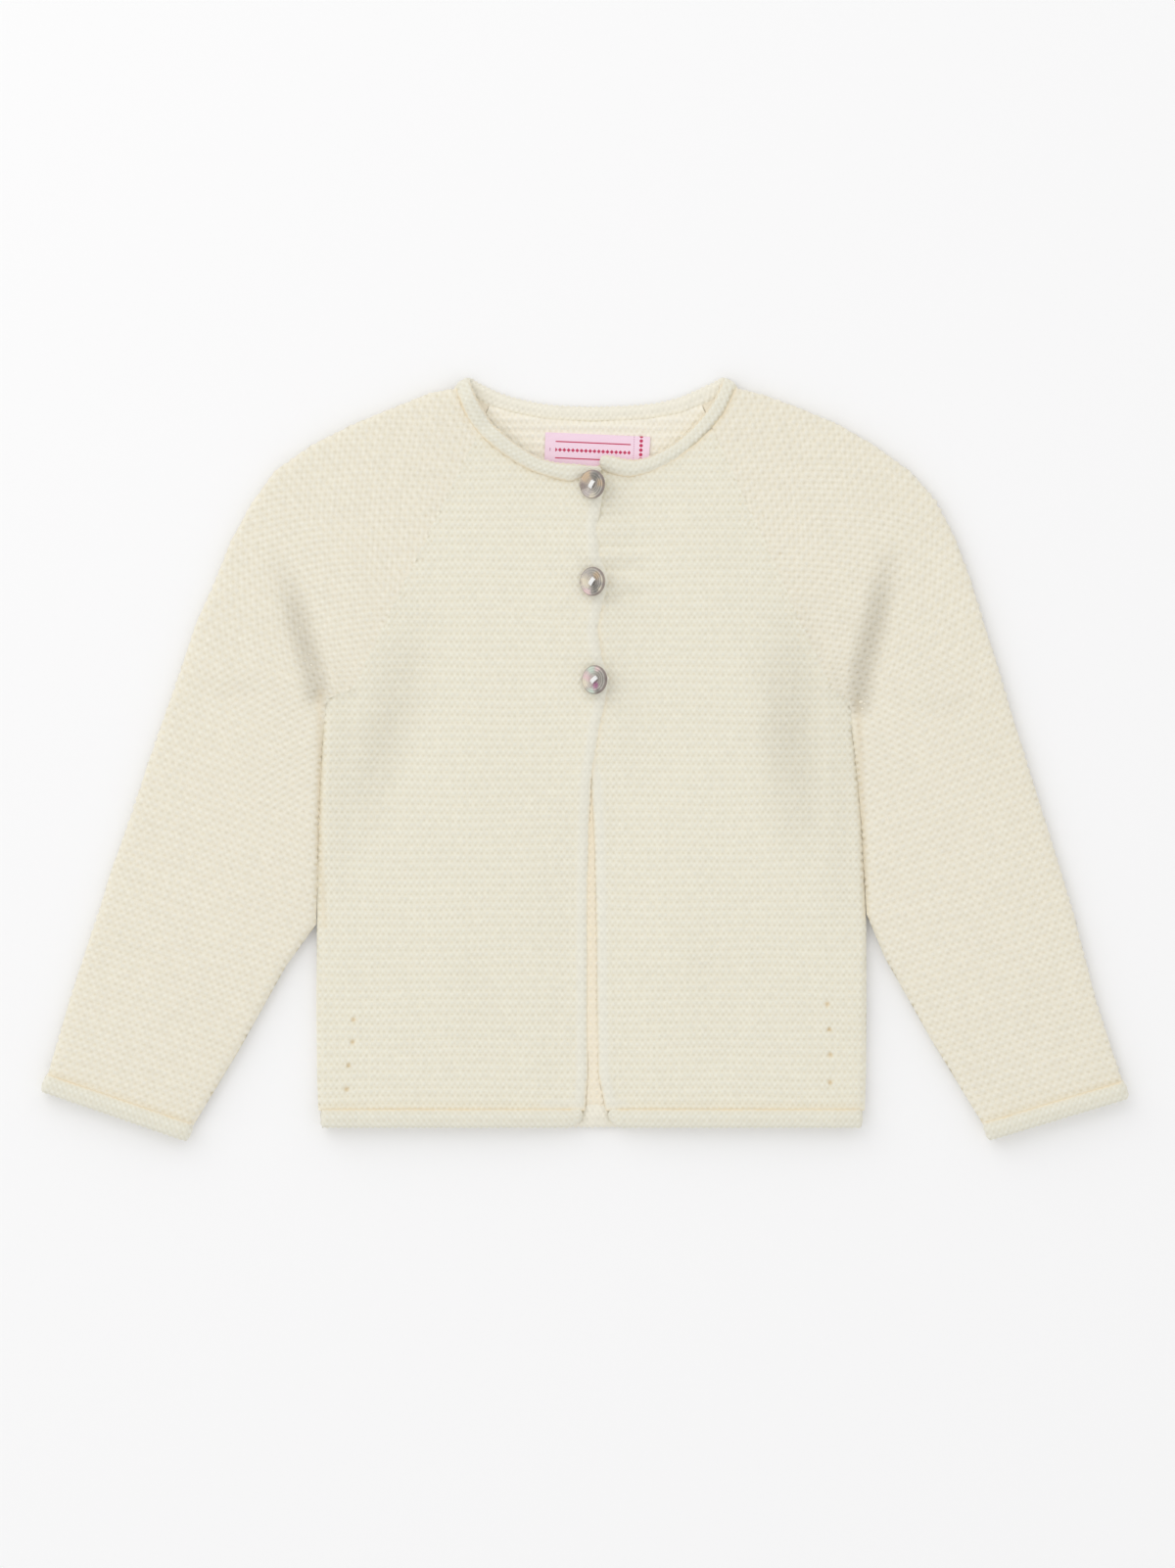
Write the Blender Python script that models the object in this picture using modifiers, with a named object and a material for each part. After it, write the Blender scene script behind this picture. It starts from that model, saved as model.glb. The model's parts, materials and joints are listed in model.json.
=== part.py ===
"""A baby's raglan cardigan in garter stitch, buttoned at the top and laid flat on its back.

The frame is in metres, +Z up. The wearer's right side lies towards -X, and the neck towards +Y.
The tables below are in millimetres, and every mesh is brought to metres as it is made. Each knitted
panel is a wall with a true inner and outer face, lofted through the sections that a table lists.
"""

import math

import bmesh
import bpy
import numpy as np

MM = 0.001

# How many points a section has across each layer
SLEEVE_STEPS = 6
FRONT_STEPS = 7
BACK_STEPS = 11

# Cloth, in millimetres
WALL = 2.2  # garter stitch
ROLL_WALL = 1.5  # the plain knit that rolls up at every edge
SEAM = 0.3  # between pieces that are sewn together
LABEL_WALL = 0.6

# How the layers lie, in millimetres above the table
TOP = 6.9  # outer face of the upper layer
PUFF = 0.5  # how far a tube of knitting stands up between its folds
FOLD_Z = 4.0  # height of the side and underarm seams
FOLD_RUN = 4.5  # width of the round fold along the outside of a sleeve
CURL_RUN = 4.0  # width of the round fold along a side seam
ROLL_GAP = 0.6  # half the space between the layers at a rolled edge
ROLL_TOP = 5.2  # height of a roll that lies on top
ROLL_UNDER = FOLD_Z - ROLL_GAP  # height of a roll that the garment lies on
ROLL_SIDE = 3.0  # height of a roll where it turns round a side
ROLL_WIDTH = 7.5
ROLL_WALL_SHARE = 0.42  # a low roll's wall is at most this share of its height
ROLL_TUCK = 0.35  # the rolled wall ends this far above where it starts
RISE_RUN = 13.0  # how far in from a roll the under layer lifts off the table
HEM_Y = -154.0  # the line where the hem rolls start

# Where the fronts lap, in millimetres
LAP_END_Y = -9.0  # the fronts lap above this, and part below it
PART_Y = -42.0
OVER_RISE = 1.2  # the upper front rides up over the lower one
UNDER_DROP = 1.3
OVER_X = (-28.0, -3.0)  # the upper front climbs from the first of these to the second
UNDER_X = (14.0, 40.0)  # the lower front comes up again from the first to the second
SLIT_DROP = 1.3  # both fronts sink to the back along the open slit

# Buttons, in millimetres
BUTTON_TILT = math.radians(32)  # each button leans, with its side at the front edge up
BUTTON_CLEAR = 0.6  # from the cloth to the low side of the rim
BUTTON_HOLE_RADIUS = 0.8
BUTTON_HOLE_OFFSET = 1.2
BUTTON_TURNS = 24
THREAD_RADIUS = 0.45
THREAD_UNDER = 1.5  # the thread turns down this far under a button's middle
THREAD_RISE = 0.8  # it comes out of a hole to this height over the middle
THREAD_OVER = 1.25  # and the stitch between the holes lies this high
THREAD_BEND = 0.6  # share of a hole's offset at which the stitch is straight
BUTTONHOLE = (3.8, 4.2)
BUTTONHOLE_SHIFT = 0.8  # the leaning button's thread comes down on the edge's side


def columns(names, rows):
    """The rows of a table as one array for each named column."""
    return dict(zip(names.split(), np.array(rows, float).T))


# The body's sides, from the hem to the underarm.
SIDES = columns(
    "y right_x left_x",
    [
        (-153.7, -116.7, 122.7),
        (-138.0, -117.2, 123.2),
        (-108.0, -117.5, 123.4),
        (-72.0, -117.3, 123.3),
        (-50.0, -117.0, 122.4),
        (-29.0, -116.6, 121.2),
        (-8.0, -115.9, 119.4),
        (10.5, -114.8, 117.4),
    ],
)

# Each sleeve from the neck to the cuff. A section runs from its outer fold to the front raglan seam
# on the upper layer, and to the back raglan seam on the under layer. Past the underarm both meet.
SLEEVE_NAMES = "fold_x fold_y front_x front_y back_x back_y"
RIGHT_SLEEVE = columns(
    SLEEVE_NAMES,
    [
        (-55.9, 164.4, -46.2, 144.2, -42.0, 155.9),
        (-67.5, 162.0, -53.5, 130.0, -47.5, 143.0),
        (-82.5, 156.0, -59.5, 118.0, -55.5, 126.0),
        (-102.0, 148.0, -67.5, 101.5, -66.0, 105.5),
        (-120.0, 139.0, -77.5, 81.5, -76.5, 83.5),
        (-136.5, 127.5, -86.5, 63.0, -86.0, 63.5),
        (-146.5, 113.5, -93.5, 48.5, -93.5, 48.5),
        (-156.0, 96.5, -98.0, 38.5, -98.0, 38.5),
        (-163.5, 77.5, -102.0, 31.5, -102.0, 31.5),
        (-171.0, 61.0, -113.5, 27.0, -113.5, 27.0),
        (-178.0, 40.0, -115.4, 10.5, -115.4, 10.5),
        (-185.0, 20.0, -116.5, -8.0, -116.5, -8.0),
        (-192.5, -1.5, -117.3, -29.5, -117.3, -29.5),
        (-199.5, -23.0, -117.7, -50.5, -117.7, -50.5),
        (-207.5, -45.5, -118.4, -72.0, -118.4, -72.0),
        (-214.0, -66.0, -131.5, -90.0, -131.5, -90.0),
        (-226.5, -104.0, -152.5, -127.5, -152.5, -127.5),
        (-236.5, -138.5, -172.5, -160.5, -172.5, -160.5),
    ],
)
LEFT_SLEEVE = columns(
    SLEEVE_NAMES,
    [
        (65.9, 164.4, 55.9, 145.8, 51.5, 156.2),
        (78.5, 161.0, 63.5, 130.0, 57.5, 143.0),
        (93.5, 155.5, 68.5, 118.0, 65.5, 126.0),
        (111.5, 148.0, 76.5, 101.5, 75.0, 105.5),
        (127.0, 139.0, 85.5, 81.5, 85.0, 83.5),
        (143.0, 127.5, 93.5, 63.0, 93.0, 63.5),
        (154.5, 114.5, 100.5, 48.5, 100.5, 48.5),
        (163.5, 97.0, 105.0, 38.5, 105.0, 38.5),
        (170.5, 78.0, 108.5, 31.0, 108.5, 31.0),
        (176.0, 60.0, 116.5, 26.0, 116.5, 26.0),
        (182.5, 39.5, 118.0, 10.5, 118.0, 10.5),
        (188.5, 19.0, 120.0, -7.5, 120.0, -7.5),
        (195.0, -1.5, 121.8, -26.5, 121.8, -26.5),
        (201.5, -22.5, 123.0, -47.0, 123.0, -47.0),
        (208.0, -43.5, 124.2, -67.5, 124.2, -67.5),
        (214.5, -64.5, 132.5, -87.0, 132.5, -87.0),
        (225.0, -105.0, 153.5, -124.0, 153.5, -124.0),
        (236.8, -141.5, 175.5, -160.0, 175.5, -160.0),
    ],
)
UNDERARM = 9  # the section where the raglan seams end and the sleeve closes

# The rolled neck edge, from the right front's corner round the back to the left front's corner: the
# line it is picked up along, the fold it rolls over, and the layer it lies on, 1 up and -1 under.
NECK = columns(
    "seam_x seam_y fold_x fold_y layer height",
    [
        (1.2, 126.0, 1.2, 129.0, 1.0, 2.4),
        (-2.3, 124.4, -2.2, 129.9, 1.0, 3.2),
        (-7.0, 123.2, -6.6, 130.2, 1.0, 5.0),
        (-15.5, 125.2, -14.0, 131.0, 1.0, 5.2),
        (-24.5, 128.4, -22.0, 133.9, 1.0, 5.2),
        (-34.5, 134.4, -31.0, 139.6, 1.0, 5.2),
        (-42.0, 140.2, -37.1, 144.8, 1.0, 5.2),
        (-46.2, 144.2, -40.7, 148.2, 1.0, 5.2),
        (-51.3, 151.5, -45.1, 155.0, 1.0, 5.2),
        (-54.2, 158.5, -48.4, 161.3, 1.0, 4.8),
        (-54.5, 162.0, -49.0, 165.6, 0.0, 3.6),
        (-50.2, 160.4, -46.3, 165.8, -1.0, 3.4),
        (-42.0, 155.9, -39.3, 162.4, -1.0, 3.4),
        (-33.0, 152.8, -31.0, 159.5, -1.0, 3.4),
        (-17.3, 149.6, -16.5, 156.5, -1.0, 3.4),
        (3.5, 148.5, 3.5, 155.5, -1.0, 3.4),
        (27.3, 149.6, 26.5, 156.5, -1.0, 3.4),
        (42.0, 152.2, 40.1, 159.1, -1.0, 3.4),
        (51.5, 156.2, 48.5, 162.5, -1.0, 3.4),
        (60.2, 160.6, 56.2, 166.0, -1.0, 3.4),
        (64.4, 162.1, 58.8, 165.6, 0.0, 3.6),
        (64.1, 158.5, 58.3, 161.5, 1.0, 4.8),
        (61.0, 152.2, 54.7, 155.3, 1.0, 5.2),
        (55.9, 145.8, 50.3, 149.7, 1.0, 5.2),
        (49.6, 139.6, 44.8, 144.0, 1.0, 5.2),
        (41.0, 133.2, 37.6, 138.2, 1.0, 5.2),
        (30.4, 127.8, 28.2, 133.4, 1.0, 5.2),
        (20.1, 125.1, 20.1, 132.1, 1.0, 5.2),
        (12.8, 126.2, 12.3, 133.6, 1.0, 5.2),
        (8.6, 128.0, 8.3, 134.0, 1.0, 4.6),
        (6.4, 129.6, 6.2, 132.8, 1.0, 3.4),
    ],
)
# Rows of NECK at the seams between the fronts, the sleeves and the back, and at the shoulder folds.
NECK_RIGHT_FRONT, NECK_RIGHT_SHOULDER, NECK_RIGHT_BACK = 7, 10, 12
NECK_LEFT_BACK, NECK_LEFT_SHOULDER, NECK_LEFT_FRONT = 18, 20, 23
NECK_LAST = 30
NECK_START = 0.01  # share of a panel's neck line at which its edge starts
BACK_NECK_INSET = 0.08  # and at which the flat of the back starts
BOWED_ROWS = 3.0  # the last rows of a front take on the neck's curve
# Shares of the way from each raglan seam to the shoulder fold at which a sleeve meets the neck seam.
SLEEVE_NECK = columns(
    "front back",
    [(0.2, 0.2), (1 / 3, 0.35), (0.5, 0.5), (2 / 3, 0.65), (5 / 6, 0.8), (1.0, 1.0)],
)
RIGHT_CORNER = (8.8, 123.6)  # neck corner of the upper front, under the top button
LEFT_CORNER = (0.4, 125.4)  # neck corner of the lower front, hidden by the upper one

# The front edges, from the hem up. The upper one waves out round each button.
FRONT_EDGES = columns(
    "y over_x under_x",
    [
        (-153.7, -0.2, 9.6),
        (-138.0, 0.9, 6.4),
        (-108.0, 1.0, 5.5),
        (-72.0, 1.0, 5.3),
        (-50.0, 1.2, 4.8),
        (-29.0, 1.6, 4.2),
        (-10.0, 2.4, 3.2),
        (4.0, 4.4, -1.0),
        (14.0, 6.0, -1.5),
        (25.0, 8.8, -1.5),
        (35.5, 11.0, -1.5),
        (46.0, 7.2, -1.5),
        (57.0, 5.4, -1.5),
        (68.0, 7.4, -1.5),
        (78.5, 10.5, -1.5),
        (90.0, 6.4, -1.5),
        (102.0, 5.0, -1.5),
    ],
)
# The smooth selvedge along a front edge: distance in from the edge, and how far it stands up.
SELVEDGE = columns(
    "inset rise", [(6.8, 0.0), (5.2, 0.35), (3.2, 0.7), (1.2, 0.35), (0.0, -0.6)]
)
SELVEDGE_BARE_Y = -12.0  # the lower front is flat above this, where the upper one covers it

# A front's hem roll grows from its corner to its full size: share of its length, and size.
HEM_TAPER = columns(
    "share size",
    [(0.0, 0.55), (0.02, 0.85), (0.06, 1.0), (0.25, 1.0), (0.5, 1.0), (0.75, 1.0), (1.0, 1.0)],
)
HEM_CORNER_INSET = 0.6

# Soft creases in the upper layer: the line each follows, its half width and depth, and the share of
# its length over which it fades in and out.
CREASES = (
    {"line": [(-113.5, 27.0), (-118.5, 41.5), (-125.5, 67.0), (-133.0, 92.0)],
     "half_width": 11.0, "depth": 2.0, "fade_in": 0.0, "fade_out": 0.6},
    {"line": [(116.5, 26.0), (119.0, 39.0), (126.0, 63.0), (134.5, 90.0)],
     "half_width": 11.0, "depth": 2.0, "fade_in": 0.0, "fade_out": 0.6},
    {"line": [(-70.0, 84.0), (-82.5, 32.5), (-93.5, -14.5), (-97.0, -50.0)],
     "half_width": 17.0, "depth": 1.4, "fade_in": 0.4, "fade_out": 0.4},
    {"line": [(82.0, 88.0), (89.5, 41.5), (99.0, -10.5), (103.5, -50.0)],
     "half_width": 17.0, "depth": 1.4, "fade_in": 0.4, "fade_out": 0.4},
)

# The label lies on the inside of the back: its centre, size and turn.
LABEL_CENTRE = (5.3, 132.6)
LABEL_SIZE = (46.0, 21.0)
LABEL_TURN = math.radians(-2.5)

# Each button's place, and the way its two holes are turned, in degrees from across.
BUTTONS = columns("x y turn", [(3.4, 120.9, 58.0), (3.5, 78.3, 53.0), (4.4, 35.2, 40.0)])
BUTTON_NAMES = ("top", "middle", "bottom")

COLOURS = {
    "cream_knit": ((0.82, 0.79, 0.68), 0.92),
    "cream_roll": ((0.80, 0.78, 0.69), 0.90),
    "shell": ((0.50, 0.49, 0.48), 0.22),
    "white_thread": ((0.85, 0.85, 0.84), 0.70),
    "pink_label": ((0.86, 0.55, 0.70), 0.60),
}


# --- Small tools ---------------------------------------------------------------------------------


def smoothstep(low, high, value):
    share = np.clip((value - low) / (high - low), 0.0, 1.0)
    return share * share * (3.0 - 2.0 * share)


def unit(vector):
    return vector / np.linalg.norm(vector)


def flat(x, y):
    """A direction or a place on the table."""
    return np.array([x, y, 0.0])


def material(name):
    """The material of this name, made the first time that it is asked for."""
    found = bpy.data.materials.get(name)
    if found:
        return found
    colour, roughness = COLOURS[name]
    made = bpy.data.materials.new(name)
    made.use_nodes = True
    shader = made.node_tree.nodes["Principled BSDF"]
    shader.inputs["Base Color"].default_value = (*colour, 1.0)
    shader.inputs["Roughness"].default_value = roughness
    shader.inputs["Metallic"].default_value = 0.0
    return made


def finish(bm, name, finish_name):
    """Turns an edit mesh into a smooth-shaded object of this name in the cardigan's collection."""
    bmesh.ops.recalc_face_normals(bm, faces=bm.faces)
    mesh = bpy.data.meshes.new(name)
    bm.to_mesh(mesh)
    bm.free()
    mesh.materials.append(material(finish_name))
    mesh.shade_smooth()
    mesh.set_sharp_from_angle(angle=math.radians(50))
    made = bpy.data.objects.new(name, mesh)
    bpy.data.collections["cardigan"].objects.link(made)
    return made


def loft(name, outer, inner, finish_name, ring=False):
    """A wall through sections. Each row of outer and inner is one section, as a line of points.

    A ring joins its last section to its first. Any other wall is closed at both ends.
    """
    bm = bmesh.new()
    sections = [
        [bm.verts.new(point * MM) for point in (*near, *far[::-1])]
        for near, far in zip(outer, inner)
    ]
    size = len(sections[0])
    follow = sections[1:] + sections[:1] if ring else sections[1:]
    for one, two in zip(sections, follow):
        for i in range(size):
            j = (i + 1) % size
            bm.faces.new((one[i], one[j], two[j], two[i]))
    for section in () if ring else (sections[0], sections[-1]):
        for i in range(size // 2 - 1):
            bm.faces.new((section[i], section[i + 1], section[-i - 2], section[-i - 1]))
    return finish(bm, name, finish_name)


# --- How high the cloth lies ---------------------------------------------------------------------


def crease_depth(point):
    """How far the creases sink the upper layer at a place."""
    sunk = 0.0
    for crease in CREASES:
        line = np.array(crease["line"])
        lengths = np.linalg.norm(np.diff(line, axis=0), axis=1)
        starts = np.concatenate([[0.0], np.cumsum(lengths)])
        nearest, along = math.inf, 0.0
        for start, end, length, before in zip(line, line[1:], lengths, starts):
            share = np.clip(np.dot(point[:2] - start, end - start) / length**2, 0.0, 1.0)
            apart = np.linalg.norm(point[:2] - start - share * (end - start))
            if apart < nearest:
                nearest, along = apart, (before + share * length) / starts[-1]
        fade_in, fade_out = crease["fade_in"], crease["fade_out"]
        fade = 1.0 if fade_in == 0.0 else smoothstep(0.0, fade_in, along)
        fade *= 1.0 - smoothstep(1.0 - fade_out, 1.0, along)
        across = 1.0 - smoothstep(0.0, crease["half_width"], nearest)
        sunk = max(sunk, crease["depth"] * fade * across)
    return sunk


def upper_height(point):
    """Outer face of the upper layer, before any puff."""
    return TOP - crease_depth(point)


def front_height(side, point):
    """Outer face of a front. The two fronts lap near the middle, and part below the buttons."""
    lapped = smoothstep(PART_Y, LAP_END_Y, point[1])
    if side == "right":
        near = smoothstep(*OVER_X, point[0])
        return upper_height(point) + near * (lapped * OVER_RISE - (1.0 - lapped) * SLIT_DROP)
    near = 1.0 - smoothstep(*UNDER_X, point[0])
    return upper_height(point) - near * (lapped * UNDER_DROP + (1.0 - lapped) * SLIT_DROP)


def under_height(edge_distance):
    """Outer face of the under layer: on the table, but lifted where it meets a roll."""
    return (ROLL_UNDER - WALL) * float(np.clip(1.0 - edge_distance / RISE_RUN, 0.0, 1.0))


def curl(start, along, level, closed, above, steps=4):
    """The round end of a section at a side or underarm seam.

    It gives the outer and inner points from the seam at start to a full curl's width along. closed
    is 1 where the layers meet in a fold and 0 where the section ends flat. above is 1 for the upper
    layer and -1 for the under one.
    """
    seam_z = FOLD_Z + above * SEAM / 2
    flat_seam_z = level - above * (WALL + SEAM / 2)
    parting = closed * FOLD_Z + (1.0 - closed) * flat_seam_z
    outer, inner = [], []
    for turn in np.linspace(0.0, math.pi / 2, steps):
        rise = 1.0 - closed * (1.0 - math.sin(turn))
        place = start + along * CURL_RUN * (1.0 - math.cos(turn))
        place[2] = seam_z + (level - seam_z) * rise
        tilt = unit(np.array([closed * math.cos(turn), 1.0 - closed + closed * math.sin(turn)]))
        inside = place + along * WALL * tilt[0]
        inside[2] = place[2] - above * WALL * tilt[1]
        clear = parting + above * SEAM / 2
        inside[2] = max(inside[2], clear) if above > 0 else min(inside[2], clear)
        outer.append(place)
        inner.append(inside)
    return outer, inner


def moved(point, height):
    """The same place at another height."""
    raised = point.copy()
    raised[2] = height
    return raised


# --- The neck line, shared by the roll and the panels that it is picked up from ---------------------


def neck_seam(position):
    """A place on the panels' side of the neck seam, by row number of NECK.

    The panels keep further off where the roll turns over at a shoulder fold.
    """
    rows = np.arange(len(NECK["layer"]))
    gap = SEAM + 2.0 * ROLL_GAP * (1.0 - abs(np.interp(position, rows, NECK["layer"])))
    seam = flat(np.interp(position, rows, NECK["seam_x"]), np.interp(position, rows, NECK["seam_y"]))
    fold = flat(np.interp(position, rows, NECK["fold_x"]), np.interp(position, rows, NECK["fold_y"]))
    return seam - unit(fold - seam) * gap


def neck_line(first, last, shares):
    """Places along the neck seam between two row numbers of NECK."""
    return [neck_seam(first + (last - first) * share) for share in shares]


def bowed(start, end, shares, curve, strength):
    """Points from start to end that bow towards a curve by the given strength."""
    places = []
    for share, target in zip(shares, curve):
        bow = target - (curve[0] + (curve[-1] - curve[0]) * share)
        places.append(start + (end - start) * share + bow * strength)
    return places


# --- Sleeves ---------------------------------------------------------------------------------------


def raglan(table, layer, offset):
    """The raglan seam of one layer, each point moved off the line towards the sleeve."""
    line = np.column_stack([table[layer + "_x"], table[layer + "_y"], np.zeros(len(table["fold_x"]))])
    folds = np.column_stack([table["fold_x"], table["fold_y"], np.zeros(len(line))])
    shifted = []
    for i, point in enumerate(line):
        if i > UNDERARM:
            shifted.append(point)
            continue
        run = unit(line[max(i - 1, 0)] - line[min(i + 1, UNDERARM + 1)])
        across = np.array([-run[1], run[0], 0.0])
        if np.dot(across, folds[i] - point) < 0:
            across = -across
        shifted.append(point + across * offset)
    return np.array(shifted)


def fold_over(place, along, run, level, other, above):
    """Points of the outer fold, from the end of one layer's flat to its half way."""
    middle, half = (level + other) / 2, abs(level - other) / 2
    outer, inner = [], []
    for turn in np.radians((30.0, 60.0, 90.0) if above > 0 else (30.0, 60.0)):
        reach, lift = math.sin(turn), above * math.cos(turn)
        at = place + along * run * reach
        outer.append(moved(at, middle + half * lift))
        inner.append(moved(at - along * WALL * reach, middle + (half - WALL) * lift))
    return outer, inner


def sleeve_layer(fold, end, closed, above, under, puff, run, places):
    """One layer of a sleeve's section, from its seam to the half way of its outer fold."""
    along = unit(fold - end)
    if places is None:
        places = [
            end + along * CURL_RUN + (fold - along * run - end - along * CURL_RUN) * share
            for share in np.linspace(0.0, 1.0, SLEEVE_STEPS)
        ]
    levels = [
        upper_height(place) + puff * math.sin(math.pi * share) if above > 0 else under
        for place, share in zip(places, np.linspace(0.0, 1.0, SLEEVE_STEPS))
    ]
    start_level = levels[0] if closed or above < 0 else upper_height(end)
    outer, inner = curl(end, unit(places[0] - end), start_level, closed, above)
    outer = outer[:-1] + [moved(place, level) for place, level in zip(places, levels)]
    inner = inner[:-1] + [moved(place, level - above * WALL) for place, level in zip(places, levels)]
    other = under if above > 0 else upper_height(places[-1])
    more_outer, more_inner = fold_over(places[-1], along, run, levels[-1], other, above)
    return outer + more_outer, inner + more_inner


def sleeve(name, table, neck_rows):
    """One sleeve: knitted flat, rolled into a tube and closed from the underarm to the cuff."""
    last = len(table["fold_x"]) - 1
    folds = np.column_stack([table["fold_x"], table["fold_y"], np.zeros(last + 1)])
    ends = {1: raglan(table, "front", SEAM / 2), -1: raglan(table, "back", SEAM / 2)}
    neck_front, shoulder, neck_back = neck_rows
    outer, inner = [], []
    for i, fold in enumerate(folds):
        closed = 0.0 if i <= UNDERARM else 1.0
        edge_distance = min(np.linalg.norm(folds[last] - fold), np.linalg.norm(fold - folds[0]))
        run = ROLL_GAP + WALL if i == 0 else FOLD_RUN
        puff = 0.0 if i in (0, last) else PUFF
        layers = {}
        for above, neck_end, neck_shares in (
            (1, neck_front, SLEEVE_NECK["front"]), (-1, neck_back, SLEEVE_NECK["back"])
        ):
            end, places = ends[above][i], None
            if i == 0:
                end = neck_seam(neck_end + (shoulder - neck_end) * NECK_START)
                places = neck_line(neck_end, shoulder, neck_shares)
            layers[above] = sleeve_layer(
                fold, end, closed, above, under_height(edge_distance), puff, run, places
            )
        outer.append(layers[1][0] + layers[-1][0][::-1])
        inner.append(layers[1][1] + layers[-1][1][::-1])
    return loft(name, outer, inner, "cream_knit")


# --- Body panels -----------------------------------------------------------------------------------


def body_rows(table, layer, side_column):
    """The outer end of each row of a body panel, from the hem to the neck, and whether it is folded."""
    rows = [(flat(x, y), 1.0) for x, y in zip(SIDES[side_column], SIDES["y"])]
    seam = raglan(table, layer, -SEAM / 2)
    rows += [(seam[i], 0.0) for i in range(UNDERARM, -1, -1)]
    return rows


def front(name, side):
    """A front: from the side and raglan seams to the front edge, with the selvedge raised."""
    if side == "right":
        table, side_column, edge_column = RIGHT_SLEEVE, "right_x", "over_x"
        corner, neck_first, neck_last = flat(*RIGHT_CORNER), NECK_RIGHT_FRONT, 0
    else:
        table, side_column, edge_column = LEFT_SLEEVE, "left_x", "under_x"
        corner, neck_first, neck_last = flat(*LEFT_CORNER), NECK_LEFT_FRONT, NECK_LAST
    ends = body_rows(table, "front", side_column)
    edges = [flat(x, y) for x, y in zip(FRONT_EDGES[edge_column], FRONT_EDGES["y"])] + [corner]
    shares = np.linspace(0.0, 1.0, FRONT_STEPS)
    neck = neck_line(neck_first, neck_last, shares)
    inset = SELVEDGE["inset"][0]
    outer, inner = [], []
    for rows_left, ((end, closed), edge) in zip(range(len(ends) - 1, -1, -1), zip(ends, edges)):
        along = unit(edge - end)
        bow = max(1.0 - rows_left / BOWED_ROWS, 0.0)
        places = bowed(end + along * CURL_RUN, edge - along * inset, shares, neck, bow)
        if rows_left == 0:
            end = neck_seam(neck_first + (neck_last - neck_first) * NECK_START)
            places = neck_line(neck_first, neck_last, (1.0 + (FRONT_STEPS - 1) * shares) / FRONT_STEPS)
        puff = 0.0 if end[1] < HEM_Y + 1.0 or rows_left < 2 else PUFF
        levels = [
            front_height(side, place) + puff * math.sin(math.pi * share)
            for place, share in zip(places, shares)
        ]
        level = levels[0] if closed else front_height(side, end)
        line_out, line_in = curl(end, unit(places[0] - end), level, closed, 1)
        line_out = line_out[:-1] + [moved(place, level) for place, level in zip(places, levels)]
        line_in = line_in[:-1] + [moved(place, level - WALL) for place, level in zip(places, levels)]
        shown = side == "right" or edge[1] < SELVEDGE_BARE_Y
        for step, rise in zip(SELVEDGE["inset"][1:], SELVEDGE["rise"][1:]):
            place = places[-1] + (edge - places[-1]) * (1.0 - step / inset)
            level = front_height(side, place)
            line_out.append(moved(place, level + (rise if shown else min(rise, 0.0))))
            line_in.append(moved(place, level - WALL))
        outer.append(line_out)
        inner.append(line_in)
    return loft(name, outer, inner, "cream_knit")


def back(name):
    """The back, flat on the table, with its sides curled up to the side seams."""
    right = body_rows(RIGHT_SLEEVE, "back", "right_x")
    left = body_rows(LEFT_SLEEVE, "back", "left_x")
    shares = np.linspace(0.0, 1.0, BACK_STEPS)
    neck = neck_line(NECK_RIGHT_BACK, NECK_LEFT_BACK, shares)
    outer, inner = [], []
    for rows_left, (one, two) in zip(range(len(right) - 1, -1, -1), zip(right, left)):
        (one, closed), (two, _) = one, two
        along = unit(two - one)
        bow = 0.5 if rows_left == 2 else float(rows_left < 2)
        places = bowed(one + along * CURL_RUN, two - along * CURL_RUN, shares, neck, bow)
        if rows_left == 0:
            rows = NECK_LEFT_BACK - NECK_RIGHT_BACK
            one = neck_seam(NECK_RIGHT_BACK + rows * NECK_START)
            two = neck_seam(NECK_LEFT_BACK - rows * NECK_START)
            inner_shares = BACK_NECK_INSET + (1.0 - 2.0 * BACK_NECK_INSET) * shares
            places = neck_line(NECK_RIGHT_BACK, NECK_LEFT_BACK, inner_shares)
        level = under_height(RISE_RUN * min(rows_left, 1) if one[1] > HEM_Y + 1.0 else 0.0)
        right_out, right_in = curl(one, unit(places[0] - one), level, closed, -1)
        left_out, left_in = curl(two, unit(places[-1] - two), level, closed, -1)
        middle_out = [moved(place, level) for place in places]
        middle_in = [moved(place, level + WALL) for place in places]
        outer.append(right_out[:-1] + middle_out + left_out[-2::-1])
        inner.append(right_in[:-1] + middle_in + left_in[-2::-1])
    return loft(name, outer, inner, "cream_knit")


def back_inner_height(point):
    """Inner face of the back, which the label lies on."""
    neck_y = np.interp(point[0], NECK["seam_x"][NECK_RIGHT_BACK:NECK_LEFT_BACK + 1],
                       NECK["seam_y"][NECK_RIGHT_BACK:NECK_LEFT_BACK + 1])
    return under_height(neck_y - point[1]) + WALL


def label(name):
    """The woven label, laid on the inside of the back and made from the back's own heights."""
    across = flat(math.cos(LABEL_TURN), math.sin(LABEL_TURN))
    up = flat(-math.sin(LABEL_TURN), math.cos(LABEL_TURN))
    outer, inner = [], []
    for share_y in np.linspace(-0.5, 0.5, 6):
        line = [
            flat(*LABEL_CENTRE) + across * LABEL_SIZE[0] * share_x + up * LABEL_SIZE[1] * share_y
            for share_x in np.linspace(-0.5, 0.5, 5)
        ]
        heights = [back_inner_height(place) + SEAM for place in line]
        inner.append([moved(place, height) for place, height in zip(line, heights)])
        outer.append([moved(place, height + LABEL_WALL) for place, height in zip(line, heights)])
    return loft(name, outer, inner, "pink_label")


# --- Rolled edges ----------------------------------------------------------------------------------


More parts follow.
